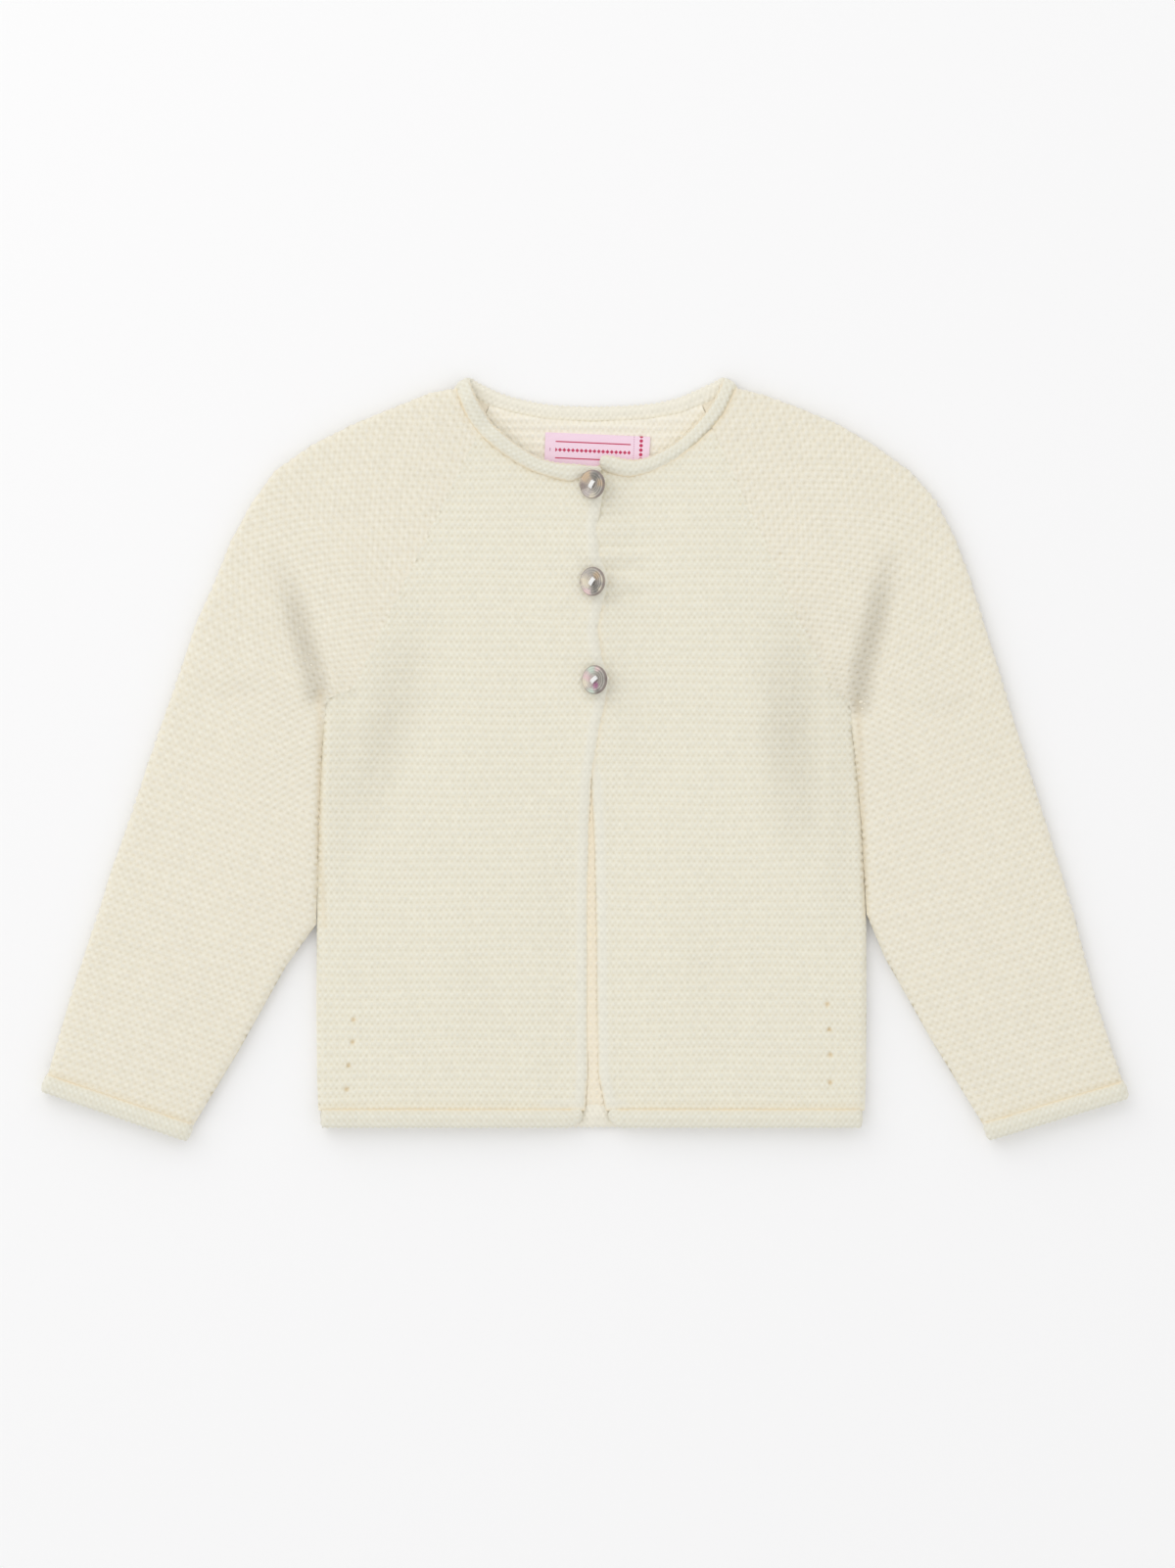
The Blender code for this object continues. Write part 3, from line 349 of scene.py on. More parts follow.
class BentKnit:
    """Knitting along a bent line: rows of (x, y, tilt), in millimetres and in degrees from upright."""

    def __init__(self, line, seed):
        self.seed = seed
        self.stitch, self.ridge = SLEEVE_STITCH, SLEEVE_RIDGE
        line = np.array(line, float)
        lengths = np.linalg.norm(np.diff(line[:, :2], axis=0), axis=1)
        along = np.concatenate([[0.0], np.cumsum(lengths)])
        ends = [along[0] - PAST_END, *along, along[-1] + PAST_END]
        first = line[0] - (line[1] - line[0]) * PAST_END / lengths[0]
        last = line[-1] + (line[-1] - line[-2]) * PAST_END / lengths[-1]
        first[2], last[2] = line[0, 2], line[-1, 2]
        table = np.vstack([first, line, last])
        self.along = np.arange(ends[0], ends[-1], 1.0)
        dense = np.column_stack([np.interp(self.along, ends, column) for column in table.T])
        window = np.hanning(BEND_OVER) / np.hanning(BEND_OVER).sum()
        padded = np.pad(dense, ((BEND_OVER // 2, BEND_OVER // 2), (0, 0)), "edge")
        dense = np.column_stack([np.convolve(column, window, "valid") for column in padded.T])
        self.centre = dense[:, :2] * MM
        tilt = np.radians(dense[:, 2])
        self.up = np.column_stack([np.sin(tilt), np.cos(tilt)])
        self.across = np.column_stack([self.up[:, 1], -self.up[:, 0]])
        self.along = self.along * MM

    def at(self, along, values):
        return np.column_stack([np.interp(along, self.along, column) for column in values.T])

    def places(self, stitches):
        along = stitches[:, 1] * self.ridge
        plain = self.at(along, self.centre) + self.at(along, self.across) * stitches[:, :1] * self.stitch
        return plain + slow_wave(plain, self.seed)

    def stitches(self, places):
        found = np.empty_like(places)
        for start in range(0, len(places), AT_ONCE):
            part = places[start:start + AT_ONCE]
            part = part - slow_wave(part, self.seed)
            ahead = np.einsum("pij,ij->pi", part[:, None] - self.centre, self.up)
            nearest = np.abs(ahead).argmin(axis=1)
            rows = np.arange(len(part))
            along = self.along[nearest] + ahead[rows, nearest]
            side = ((part - self.at(along, self.centre)) * self.at(along, self.across)).sum(axis=1)
            found[start:start + AT_ONCE] = np.column_stack([side / self.stitch, along / self.ridge])
        return found


RIGHT_ARM = [
    (-204.5, -149.5, 19), (-189.5, -115.8, 18), (-172.8, -78.0, 16.5), (-158.6, -36.8, 18.5),
    (-150.8, 6.0, 22), (-142.0, 44.0, 33), (-127.0, 67.5, 44), (-111.5, 95.0, 50),
    (-84.7, 124.7, 53), (-60.5, 146.0, 55), (-51.0, 154.3, 56),
]
LEFT_ARM = [
    (206.2, -150.8, -17), (189.3, -114.5, -15), (173.5, -75.8, -15.5), (162.3, -34.8, -18),
    (154.3, 5.7, -21), (146.3, 43.0, -30), (134.3, 67.8, -42), (118.3, 95.3, -50),
    (94.0, 124.8, -54), (71.0, 145.5, -56), (60.9, 155.1, -57),
]
body_knit = StraightKnit(0.4)
right_knit = BentKnit(RIGHT_ARM, 1.9)
left_knit = BentKnit(LEFT_ARM, 3.2)
probe = np.array([[3.0, 5.0], [-6.0, 40.0]])
print("stitch counts there and back:", np.round(right_knit.stitches(right_knit.places(probe)), 2).tolist())

# %% [markdown]
# ## The outer face of a solid
# A panel's solid is a wall with an outer face, an inner face and cut edges. Only the outer face carries
# stitches. It is found as the set of faces that look the right way and lie furthest out, and its rim is
# split finely, so that the stitches can be sewn to the plain wall without a gap.

# %% Finding an outer face and its rim
RIM_STEP = 0.9 * MM
SHARPEST = math.radians(40)  # a wall's end turns away by more than this
SAME_PLACE = 0.001 * MM
LOOKING = 0.02  # a face looks up or down if its normal leans that way by more than this
LARGE_SHARE = 0.3  # an outer face has at least this share of the largest face's area


def merged_copy(node):
    bm = bmesh.new()
    bm.from_mesh(nodes[node].data)
    bmesh.ops.remove_doubles(bm, verts=bm.verts, dist=SAME_PLACE)
    return bm


def outer_faces(bm, side):
    """The faces that look up (side 1) or down (side -1) and lie furthest that way."""
    looking = {face for face in bm.faces if face.normal.z * side > LOOKING}
    islands = []
    while looking:
        island, waiting = set(), [looking.pop()]
        while waiting:
            face = waiting.pop()
            island.add(face)
            soft = [edge for edge in face.edges if edge.calc_face_angle(math.pi) < SHARPEST]
            near = {other for edge in soft for other in edge.link_faces} & looking
            looking -= near
            waiting += near
        area = sum(face.calc_area() for face in island)
        height = sum(face.calc_center_median().z * face.calc_area() for face in island) / area
        islands.append((area, height * side, island))
    large = max(area for area, _, _ in islands) * LARGE_SHARE
    outer = max((found for found in islands if found[0] > large), key=lambda found: found[1])[2]
    # A dict keeps the faces in the solid's own order, so each run makes the same mesh.
    return dict.fromkeys(face for face in bm.faces if face in outer)


def surface_of(faces):
    corners = [[vert.co.copy() for vert in face.verts] for face in faces]
    points = [point for face in corners for point in face]
    starts = np.cumsum([0] + [len(face) for face in corners])
    return BVHTree.FromPolygons(points, [range(a, b) for a, b in zip(starts, starts[1:])])


def rim_edges(bm, island):
    return [edge for edge in bm.edges if sum(face in island for face in edge.link_faces) == 1]


def split_rim(bm, island):
    cuts = {}
    for edge in rim_edges(bm, island):
        cuts.setdefault(int(edge.calc_length() / RIM_STEP), []).append(edge)
    for count, edges in cuts.items():
        if count:
            bmesh.ops.bisect_edges(bm, edges=edges, cuts=count)


def rings_of(edges):
    """Closed rings of corner points, the longest first."""
    follow = {}
    for edge in edges:
        one, two = edge.verts
        follow.setdefault(one, []).append(two)
        follow.setdefault(two, []).append(one)
    rings, left = [], dict.fromkeys(follow)
    while left:
        start = next(iter(left))
        del left[start]
        ring, before, now = [start], start, follow[start][0]
        while now is not start:
            ring.append(now)
            del left[now]
            one, two = follow[now][:2]
            before, now = now, two if one is before else one
        rings.append(ring)
    return sorted(rings, key=len, reverse=True)


def inside(points, ring):
    """Which points lie inside a closed ring, on the table."""
    x, y = points.T
    found = np.zeros(len(points), bool)
    for (x1, y1), (x2, y2) in zip(ring, np.roll(ring, -1, axis=0)):
        if y1 == y2:
            continue
        crossing = ((y1 > y) != (y2 > y)) & (x < (x2 - x1) * (y - y1) / (y2 - y1) + x1)
        found ^= crossing
    return found


def distances(points, ring):
    """How far each point is from the nearest point of a ring."""
    tree = kdtree.KDTree(len(ring))
    for i, (x, y) in enumerate(ring):
        tree.insert((x, y, 0), i)
    tree.balance()
    return np.array([tree.find((x, y, 0))[2] for x, y in points])


for node, side in (("front_right", 1), ("sleeve_right", 1), ("sleeve_right", -1), ("back_panel", -1)):
    solid = merged_copy(node)
    faces = outer_faces(solid, side)
    rings = rings_of(rim_edges(solid, faces))
    print(node, side, len(faces), "faces, rims of", [len(ring) for ring in rings])
    solid.free()

# %% [markdown]
# ## Laying a face of stitches
# The face is filled with a fine net of points that follows the stitches: a few points to each stitch, and
# four to each ridge. The net is dropped onto the solid, and joined to the rim by triangles. Each point
# remembers its stitch count, so that its height in the ridge can be worked out later.

# %% A net of stitch points
UP = 4  # points to a ridge
KEEP_OFF = 0.35 * MM
FLAT_OVER = 0.9  # beyond a fold the wall turns away, but by less than this, which is nearly flat over
OVER_ALL, MIDDLE = 100 * MM, 3 * MM  # a height over every solid, and one in the middle of the cloth


def net(knit, rim, across, window):
    """Stitch counts and places of a net over a rim. A window keeps the net to boxes on the table."""
    counts = knit.stitches(rim)
    low, high = np.floor(counts.min(axis=0)), np.ceil(counts.max(axis=0))
    columns, rows = np.arange(low[0], high[0], 1 / across), np.arange(low[1], high[1], 1 / UP)
    counts = np.stack(np.meshgrid(columns, rows), axis=-1).reshape(-1, 2)
    shifted = counts + np.column_stack([0 * counts[:, 0], ZIGZAG * np.cos(2 * np.pi * counts[:, 0])])
    places = knit.places(shifted)
    if window:
        keep = np.zeros(len(places), bool)
        for x1, y1, x2, y2 in np.array(window) * MM:
            keep |= (places > (x1, y1)).all(axis=1) & (places < (x2, y2)).all(axis=1)
        counts, places = counts[keep], places[keep]
    return counts, places


def split_kinds(bm, island, side):
    """The rim's points at a cut edge, and those at a fold, where the outer face goes on round."""
    folds, cuts = set(), set()
    for edge in rim_edges(bm, island):
        beyond = next(face for face in edge.link_faces if face not in island)
        is_fold = -FLAT_OVER < beyond.normal.z * side < -LOOKING
        (folds if is_fold else cuts).update(edge.verts)
    return folds - cuts, cuts


def stitch_layers(bm):
    """The layers that a point's numbers are kept in.

    The one called knit keeps its stitch count and the side it faces. The one called reach keeps how far it is
    from a cut edge and from any edge, and marks the points of the cut outline.
    """
    layers = bm.verts.layers.float_vector
    if "knit" not in layers:
        layers.new("knit")
        layers.new("reach")
    return layers["knit"], layers["reach"]


def net_within(knit, rims, across, window):
    """The part of the net that lies inside the longest rim, outside the holes and a little off both."""
    counts, places = net(knit, rims[0], across, window)
    keep = inside(places, rims[0])
    for hole in rims[1:]:
        keep &= ~inside(places, hole)
    counts, places = counts[keep], places[keep]
    to_rim = distances(places, np.vstack(rims))
    return (part[to_rim > KEEP_OFF] for part in (counts, places, to_rim))


def mark_rim(bm, knit, side, rings, folds, cuts):
    """Gives the rim's points their stitch counts. The points of the cut outline are marked in reach."""
    layer, reach = stitch_layers(bm)
    cut_rim = np.array([vert.co.xy for vert in cuts])
    verts = [vert for ring in rings for vert in ring]
    counts = knit.stitches(np.array([vert.co.xy for vert in verts]))
    counts[:, 1] -= ZIGZAG * np.cos(2 * np.pi * counts[:, 0])
    outline = set(rings[0]) & cuts
    for vert, (across_count, up_count) in zip(verts, counts):
        vert[layer] = (across_count, up_count, side if vert in folds else 0)
        cut_gap = distances([vert.co.xy], cut_rim)[0] if vert in folds else 0
        vert[reach] = (cut_gap, 0, side if vert in outline else 0)
    return verts, cut_rim


def dropped(bm, surface, side, places, counts, to_cut, to_rim):
    """New points of the net, dropped onto the solid's own face."""
    layer, reach = stitch_layers(bm)
    down, made = Vector((0, 0, -side)), []
    for (x, y), (across_count, up_count), cut_gap, rim_gap in zip(places, counts, to_cut, to_rim):
        hit = surface.ray_cast(Vector((x, y, OVER_ALL * side)), down)[0]
        if hit is None:
            hit = surface.find_nearest(Vector((x, y, MIDDLE)))[0]
        vert = bm.verts.new((x, y, hit.z))
        vert[layer] = (across_count, up_count, side)
        vert[reach] = (cut_gap, rim_gap, 0)
        made.append(vert)
    return made


def join_up(bm, side, verts, rims, places):
    """Joins the rim and the net by triangles, and leaves the holes open."""
    starts = np.cumsum([0] + [len(rim) for rim in rims])
    edges = [
        (start + i, start + (i + 1) % (end - start))
        for start, end in zip(starts, starts[1:]) for i in range(end - start)
    ]
    flat = [vert.co.xy for vert in verts[:starts[-1]]] + [Vector(place) for place in places]
    made, _, faces, origin, _, _ = delaunay_2d_cdt(flat, edges, [], 1, 1e-9)
    middle = np.array([np.mean([made[i][:] for i in face], axis=0) for face in faces])
    in_hole = np.zeros(len(faces), bool)
    for hole in rims[1:]:
        in_hole |= inside(middle, hole)
    for face, skip in zip(faces, in_hole):
        corners = [verts[origin[i][0]] for i in face]
        if not skip and len(set(corners)) == 3:
            bm.faces.new(corners[::side])


def lay_stitches(bm, knit, side, across, window=None):
    """Replaces one outer face of the solid by a net of stitch points."""
    stitch_layers(bm)
    surface = surface_of(outer_faces(bm, side))
    split_rim(bm, outer_faces(bm, side))
    island = outer_faces(bm, side)
    folds, cuts = split_kinds(bm, island, side)
    rings = rings_of(rim_edges(bm, island))
    bmesh.ops.delete(bm, geom=list(island), context="FACES_ONLY")
    rims = [np.array([vert.co.xy for vert in ring]) for ring in rings]
    counts, places, to_rim = net_within(knit, rims, across, window)
    verts, cut_rim = mark_rim(bm, knit, side, rings, folds, cuts)
    to_cut = distances(places, cut_rim)
    verts += dropped(bm, surface, side, places, counts, to_cut, to_rim)
    join_up(bm, side, verts, rims, places)
    bare = [edge for edge in bm.edges if not edge.link_faces]
    bmesh.ops.delete(bm, geom=bare, context="EDGES")


solid = merged_copy("front_right")
lay_stitches(solid, body_knit, 1, 4)
open_edges = sum(edge.is_boundary for edge in solid.edges)
print("front_right:", len(solid.faces), "faces,", open_edges, "open edges")
solid.free()

# %% [markdown]
# ## Raising the ridges
# Laid flat and unstretched, garter stitch shows as small bumps in staggered rows, two rows to a ridge, with
# the ridge itself only just raised. The height is worked out from the stitch count alone. First the solid's
# flats are smoothed and the soft creases are pressed in, then every point moves out along its normal. A
# little unevenness from bump to bump keeps it from looking printed.

# %% Heights of the stitches
RELIEF = 0.9 * MM
RIDGE_SHARE = 0.28
MEAN_HEIGHT = 0.5
PLAIN_CREST = 0.9  # a wall without stitches takes nearly the tone of a bump
LOWEST_BUMP, BUMP_SPREAD = 0.86, 0.28  # how unevenly high the bumps are
CLOSE_RELIEF = 0.8  # where the cloth is pressed together, its stitches stand out by this much more
SCRAMBLE = (12.9898, 78.233, 43758.5453)  # the usual numbers for a random number from a sine


def uneven(one, two):
    """A steady random number from 0 to 1 for each pair of whole numbers."""
    first, second, spread_out = SCRAMBLE
    mixed = np.sin(np.floor(one) * first + np.floor(two) * second) * spread_out
    return mixed - np.floor(mixed)


def garter(counts):
    """Height of the cloth from 0 in a valley to 1 on a bump."""
    u, v = counts.T
    ridge = 0.5 + 0.5 * np.cos(2 * np.pi * v)
    bump = 0.5 + 0.5 * np.cos(2 * np.pi * u) * np.cos(2 * np.pi * v)
    height = RIDGE_SHARE * ridge + (1 - RIDGE_SHARE) * bump
    return height * (LOWEST_BUMP + BUMP_SPREAD * uneven(u * 2 + 0.5, v * 2 + 0.5))


def smoothstep(low, high, value):
    """Rises softly from 0 at the low value to 1 at the high one."""
    share = np.clip((value - low) / (high - low), 0, 1)
    return share * share * (3 - 2 * share)


def from_line(places, line):
    """Distance from a line of points on the table, and the share along it, for each place."""
    line = np.array(line, float) * MM
    lengths = np.linalg.norm(np.diff(line, axis=0), axis=1)
    before = np.concatenate([[0], np.cumsum(lengths)])
    nearest, along = np.full(len(places), np.inf), np.zeros(len(places))
    for start, end, length, gone in zip(line, line[1:], lengths, before):
        share = np.clip((places - start) @ (end - start) / length**2, 0, 1)
        apart = np.linalg.norm(places - start - share[:, None] * (end - start), axis=1)
        along = np.where(apart < nearest, (gone + share * length) / before[-1], along)
        nearest = np.minimum(nearest, apart)
    return nearest, along


# Where a sleeve lies against the body.
RIGHT_SIDE = [(-116.5, 30.0), (-116.5, 0.0), (-116.5, -35.0), (-114.4, -72.8)]
LEFT_SIDE = [(120.0, 26.0), (121.0, 0.0), (122.5, -35.0), (123.5, -69.4)]
# Soft troughs pressed into the upper layer: points, half width, depth, shares that fade in and out, and how
# closely the cloth is pressed together there, which also sets how much shade is painted there.
TROUGHS = [
    ([(-134.0, 98.0), (-132.5, 85.0), (-127.8, 68.3), (-122.5, 51.5), (-117.8, 34.7), (-115.8, 20.0)],
     9.5, 2.0, 0.6, 0.12, 0.8),
    (RIGHT_SIDE, 3.2, 0.45, 0.1, 0.15, 0.2),
    ([(136.5, 102.0), (134.2, 88.4), (130.9, 75.0), (127.5, 58.2), (122.8, 41.4), (119.0, 14.5)],
     9.5, 2.0, 0.5, 0.12, 0.95),
    (LEFT_SIDE, 3.2, 0.55, 0.1, 0.15, 0.3),
    ([(-108.0, 60.0), (-107.0, 0.0), (-106.0, -90.0)], 12.0, 0.3, 0.3, 0.5, 0.18),
    ([(111.0, 60.0), (111.0, 0.0), (113.0, -90.0)], 13.0, 0.3, 0.3, 0.5, 0.2),
    ([(-64.0, 82.0), (-74.0, 52.0), (-86.5, 14.0), (-95.0, -18.0), (-102.0, -58.0)],
     19.0, 1.2, 0.5, 0.5, 0.38),
    ([(98.0, 84.0), (92.5, 48.0), (91.0, 14.5), (95.0, -18.0), (104.0, -58.0)],
     21.0, 1.4, 0.5, 0.5, 0.46),
    ([(-176.0, 36.0), (-158.0, 30.0), (-139.0, 32.0)], 8.0, 0.5, 0.6, 0.3, 0.1),
    ([(178.0, 30.0), (160.0, 22.0), (143.0, 26.0)], 8.0, 0.5, 0.6, 0.3, 0.1),
    ([(-60.0, -60.0), (-48.0, -98.0), (-44.0, -140.0)], 16.0, 0.35, 0.5, 0.4, 0.05),
    ([(58.0, -36.0), (52.0, -84.0), (60.0, -138.0)], 18.0, 0.35, 0.5, 0.4, 0.05),
]
# The back rises between the fronts: low and wide under their edges, and higher in the slit itself, most of
# all at its narrow top. It also rises to its rolled edge at the neck, and the lower front rises to meet the
# upper one's edge. Each row of two numbers below is a place up the table in millimetres, or along the neck
# line as a share, and the value there.
SLIT_LINE = [(2.9, 6.0), (3.0, -60.0), (3.6, -120.0), (4.7, -158.0)]
SLIT_WIDE, SLIT_LOW = 11.0, 1.7
SLIT_HIGH = ((-151, 0.9), (-122, 1.7), (-45, 1.7), (-12, 2.8), (0, 2.8), (8, 0))
SLIT_FOOT, SLIT_CALM, SLIT_TOP, SLIT_PAST = -151.0, -122.0, 0.0, 8.0
SLIT_EDGES = (0.5, 0.3)  # the slit's rise starts this far under a front's edge, and is full this far past
# How much painted warm shade there is in the slit, at places up the table.
SLIT_GLOW = ((-154, 0.3), (-100, 0.4), (-45, 0.5), (-12, 0.7), (0, 0.7), (8, 0))
NECK_LINE = [(-50.0, 160.4), (-42.0, 155.9), (-33.0, 152.8), (-17.3, 149.6), (3.5, 148.5), (27.3, 149.6),
             (42.0, 152.2), (51.5, 156.2), (60.2, 160.6)]
NECK_WIDE, NECK_RISE = 8.0, 1.3
NECK_SHARE = ((0.07, 0), (0.22, 1), (0.79, 1), (0.92, 0))
FOOT_EASE = ((-154, 0.35), (-148, 1))  # the slit's rise eases down to the hem roll
BESIDE_WIDE, BESIDE_RISE = 32.0, 2.1
BESIDE_FROM = (-1.4, 0.6, 1.0)  # it starts, is full and begins to fade this far past the edge
BESIDE_SHARE = ((-40, 0), (-20, 0.55), (-8, 1), (108, 1), (118, 0))
# Painted warm shade beside the upper front's edge and along the sides where the sleeves lie: its strength at
# each, how far it reaches, and how far under the edge it starts.
BESIDE_GLOW, SIDE_GLOW, GLOW_REACH, GLOW_UNDER = 0.3, 0.3, 1.6 * MM, 1.5 * MM
OPENING_REACH, OPENING_TOP = 16 * MM, 121 * MM


def across_line(nearest, half_width):
    """1 on a line, falling softly to 0 at half a width in millimetres from it."""
    return 0.5 + 0.5 * np.cos(np.pi * np.clip(nearest / (half_width * MM), 0, 1))


def front_edge(node, furthest):
    """The line of a front's edge at the opening: its heights on the table, and how far across it is."""
    points = np.array([vert.co[:2] for vert in nodes[node].data.vertices])
    points = points[(np.abs(points[:, 0]) < OPENING_REACH) & (points[:, 1] < OPENING_TOP)]
    rows = np.round(points[:, 1] / (2 * MM))
    levels = np.unique(rows)
    return levels * 2 * MM, np.array([furthest(points[rows == level, 0]) for level in levels])


over_edge, under_edge = front_edge("front_right", max), front_edge("front_left", min)


def pressed(places):
    """How far the troughs press the cloth down at each place, and how closely together."""
    deep, close = np.zeros(len(places)), np.zeros(len(places))
    for line, half_width, depth, fade_in, fade_out, closeness in TROUGHS:
        nearest, along = from_line(places, line)
        fade = smoothstep(0, fade_in, along) * (1 - smoothstep(1 - fade_out, 1, along))
        share = across_line(nearest, half_width) * fade
        deep, close = np.maximum(deep, depth * MM * share), np.maximum(close, closeness * share)
    return deep, close


def read_off(rows, at):
    """The value at a place, between rows of a place and a value."""
    return np.interp(at, *zip(*rows))


def in_slit(places):
    """Which places lie between the edges of the two fronts, from 0 to 1."""
    x = places[:, 0] / MM
    over, under = (np.interp(places[:, 1], *edge) / MM for edge in (over_edge, under_edge))
    early, late = SLIT_EDGES
    return smoothstep(over - early, over + late, x) * (1 - smoothstep(under - late, under + early, x))


def past_edge(places):
    """How far each place is past the edge of the upper front, in millimetres."""
    return (places[:, 0] - np.interp(places[:, 1], *over_edge)) / MM


def risen(node, places):
    """How far the cloth rises at each place, on the back and on the lower front."""
    y = places[:, 1] / MM
    if node == "back_panel":
        calm = smoothstep(SLIT_FOOT, SLIT_CALM, y) * (1 - smoothstep(SLIT_TOP, SLIT_PAST, y))
        wide = across_line(from_line(places, SLIT_LINE)[0], SLIT_WIDE) * (0.5 + 0.5 * calm)
        slit = SLIT_LOW * wide + read_off(SLIT_HIGH, y) * in_slit(places)
        nearest, along = from_line(places, NECK_LINE)
        neck = across_line(nearest, NECK_WIDE) * read_off(NECK_SHARE, along)
        return (slit * read_off(FOOT_EASE, y) + NECK_RISE * neck) * MM
    if node == "front_left":
        start, full, fading = BESIDE_FROM
        past = past_edge(places)
        beside = smoothstep(start, full, past) * (1 - smoothstep(fading, BESIDE_WIDE, past))
        return BESIDE_RISE * MM * beside * read_off(BESIDE_SHARE, y)
    return np.zeros(len(places))


def painted_warm_share(node, places, outline):
    """How much painted warm shade there is at each place beside the opening and the sleeves, from 0 to 1."""
    y = places[:, 1] / MM
    at_opening = outline & (np.abs(places[:, 0]) < OPENING_REACH) & (places[:, 1] < OPENING_TOP)
    if node == "back_panel":
        return in_slit(places) * read_off(SLIT_GLOW, y)
    to_side = np.minimum(*(from_line(places, line)[0] for line in (RIGHT_SIDE, LEFT_SIDE)))
    found = SIDE_GLOW * np.exp(-(to_side / GLOW_REACH) ** 2)
    if node == "front_right":
        found = np.maximum(found, SLIT_WARMTH * at_opening * np.where(y < 0, 1, EDGE_CALM))
    if node == "front_left":
        past = past_edge(places) * MM
        near = np.exp(-(np.maximum(past, 0) / GLOW_REACH) ** 2) * (past > -GLOW_UNDER)
        found = np.maximum(found, BESIDE_GLOW * near * read_off(BESIDE_SHARE, y))
        found = np.maximum(found, SLIT_WARMTH * at_opening * (y < 0))
    return found


sample = np.array([(0.0, 0.0), (0.25, 0.0), (0.5, 0.0), (0.0, 0.25), (0.0, 0.5)])
print("heights on a bump and beside it:", np.round(garter(sample), 2))

# %% [markdown]
# ## Marks that a knitter leaves
# Where the raglan seams are shaped, a decrease leaves a small hole beside the seam every few ridges, and
# four more run up each side from the hem. They are pressed in as pits, with painted warm shade in them. The
# front edges end in a smooth selvedge, so the ridges are fainter there.

# %% Pits and selvedges
PIT_RADIUS, PIT_DEPTH = 0.8 * MM, 1.1 * MM
PIT_FULL = 1.7  # a pit is this much more than full at its middle, so that its floor is wide
SIDE_HOLES = [
    (-101.6, -114.0), (-102.0, -123.8), (-103.8, -134.2), (-104.6, -144.5),
    (106.5, -107.1), (107.4, -118.3), (107.8, -129.4), (107.8, -141.5),
]
RAGLAN_MARKS = [((-51.0, 138.5), (-101.0, 34.0)), ((60.5, 138.5), (107.5, 34.0))]
MARK_GAP, MARK_ASIDE, MARK_SIZE = 9.0, 3.4, 0.2
SELVEDGE, SELVEDGE_FULL = 5.6 * MM, 0.6  # its width, and the share of it that is fully smooth
SELVEDGE_CALM = 0.4  # how much of the stitches' height a selvedge takes away
SLIT_WARMTH = 0.45  # painted warm shade on a front's cut edge at the opening
EDGE_CALM = 0.35  # and this share of it above the slit
PIT_SHADE = 0.35  # how much painted shade darkens a pit


def raglan_marks(start, end):
    """Decrease holes along a raglan seam, in pairs on each side of it."""
    start, end = np.array(start), np.array(end)
    length = np.linalg.norm(end - start)
    along = (end - start) / length
    beside = np.array([along[1], -along[0]]) * MARK_ASIDE
    steps = np.arange(0, length, MARK_GAP)
    return [tuple(start + along * step + beside * side) for step in steps for side in (-1, 1)]


small_pits = [pit for marks in RAGLAN_MARKS for pit in raglan_marks(*marks)]
pits = [(np.array(pit) * MM, 1.0) for pit in SIDE_HOLES]
pits += [(np.array(pit) * MM, MARK_SIZE) for pit in small_pits]


def pitted(places):
    """How deep in a pit each place is, from 0 to 1."""
    found = np.zeros(len(places))
    for pit, size in pits:
        apart = np.linalg.norm(places - pit, axis=1)
        depth = PIT_FULL * size * np.exp(-(apart / (PIT_RADIUS * (0.5 + 0.5 * size))) ** 2)
        found = np.maximum(found, np.minimum(depth, 1))
    return found


def selvedge(node, points, outline):
    """How far into the smooth edge of a front each point is, from 0 to 1."""
    if node not in ("front_right", "front_left"):
        return np.zeros(len(points))
    by_opening = (np.abs(points[:, 0]) < OPENING_REACH) & (points[:, 1] < OPENING_TOP)
    rim = points[outline & by_opening]
    return 1 - smoothstep(SELVEDGE_FULL * SELVEDGE, SELVEDGE, distances(points[:, :2], rim[:, :2]))


print(len(pits), "pits")

# %% Reading and writing a mesh
def read(mesh, name):
    values = np.empty(len(mesh.attributes[name].data) * 3, np.float32)
    mesh.attributes[name].data.foreach_get("vector", values)
    return values.reshape(-1, 3).astype(float)


def write(mesh, name, values):
    if name not in mesh.attributes:
        mesh.attributes.new(name, "FLOAT_VECTOR", "POINT")
    mesh.attributes[name].data.foreach_set("vector", values.astype(np.float32).ravel())


def edge_ends(mesh):
    ends = np.empty(len(mesh.edges) * 2, np.int32)
    mesh.edges.foreach_get("vertices", ends)
    return ends.reshape(-1, 2)


def normals_of(mesh):
    mesh.update()
    normals = np.empty(len(mesh.vertices) * 3, np.float32)
    mesh.vertex_normals.foreach_get("vector", normals)
    return normals.reshape(-1, 3).astype(float)


def keep_counts(mesh, counts):
    """Keeps the stitch count of each corner as a UV map."""
    corners = np.empty(len(mesh.loops), np.int32)
    mesh.loops.foreach_get("vertex_index", corners)
    uv = mesh.uv_layers.new(name="stitches")
    uv.uv.foreach_set("vector", counts[corners, :2].astype(np.float32).ravel())


def knitted(mesh, node, finish):
    """Puts a knitted mesh in the scene, in place of its solid."""
    mesh.materials.clear()
    mesh.materials.append(finish)
    mesh.shade_smooth()
    piece = bpy.data.objects.new(mesh.name, mesh)
    bpy.context.scene.collection.objects.link(piece)
    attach(piece, "root")
    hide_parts(node)
    print(piece.name, len(mesh.polygons), "faces")
    return piece


# %% The five panels
SEAM_CLOSE = 0.4 * MM  # each panel swells over its half of the space at a seam, and a little more
SEWN_WITHIN = 0.9 * MM  # a cut edge this near to a rolled edge is sewn to it
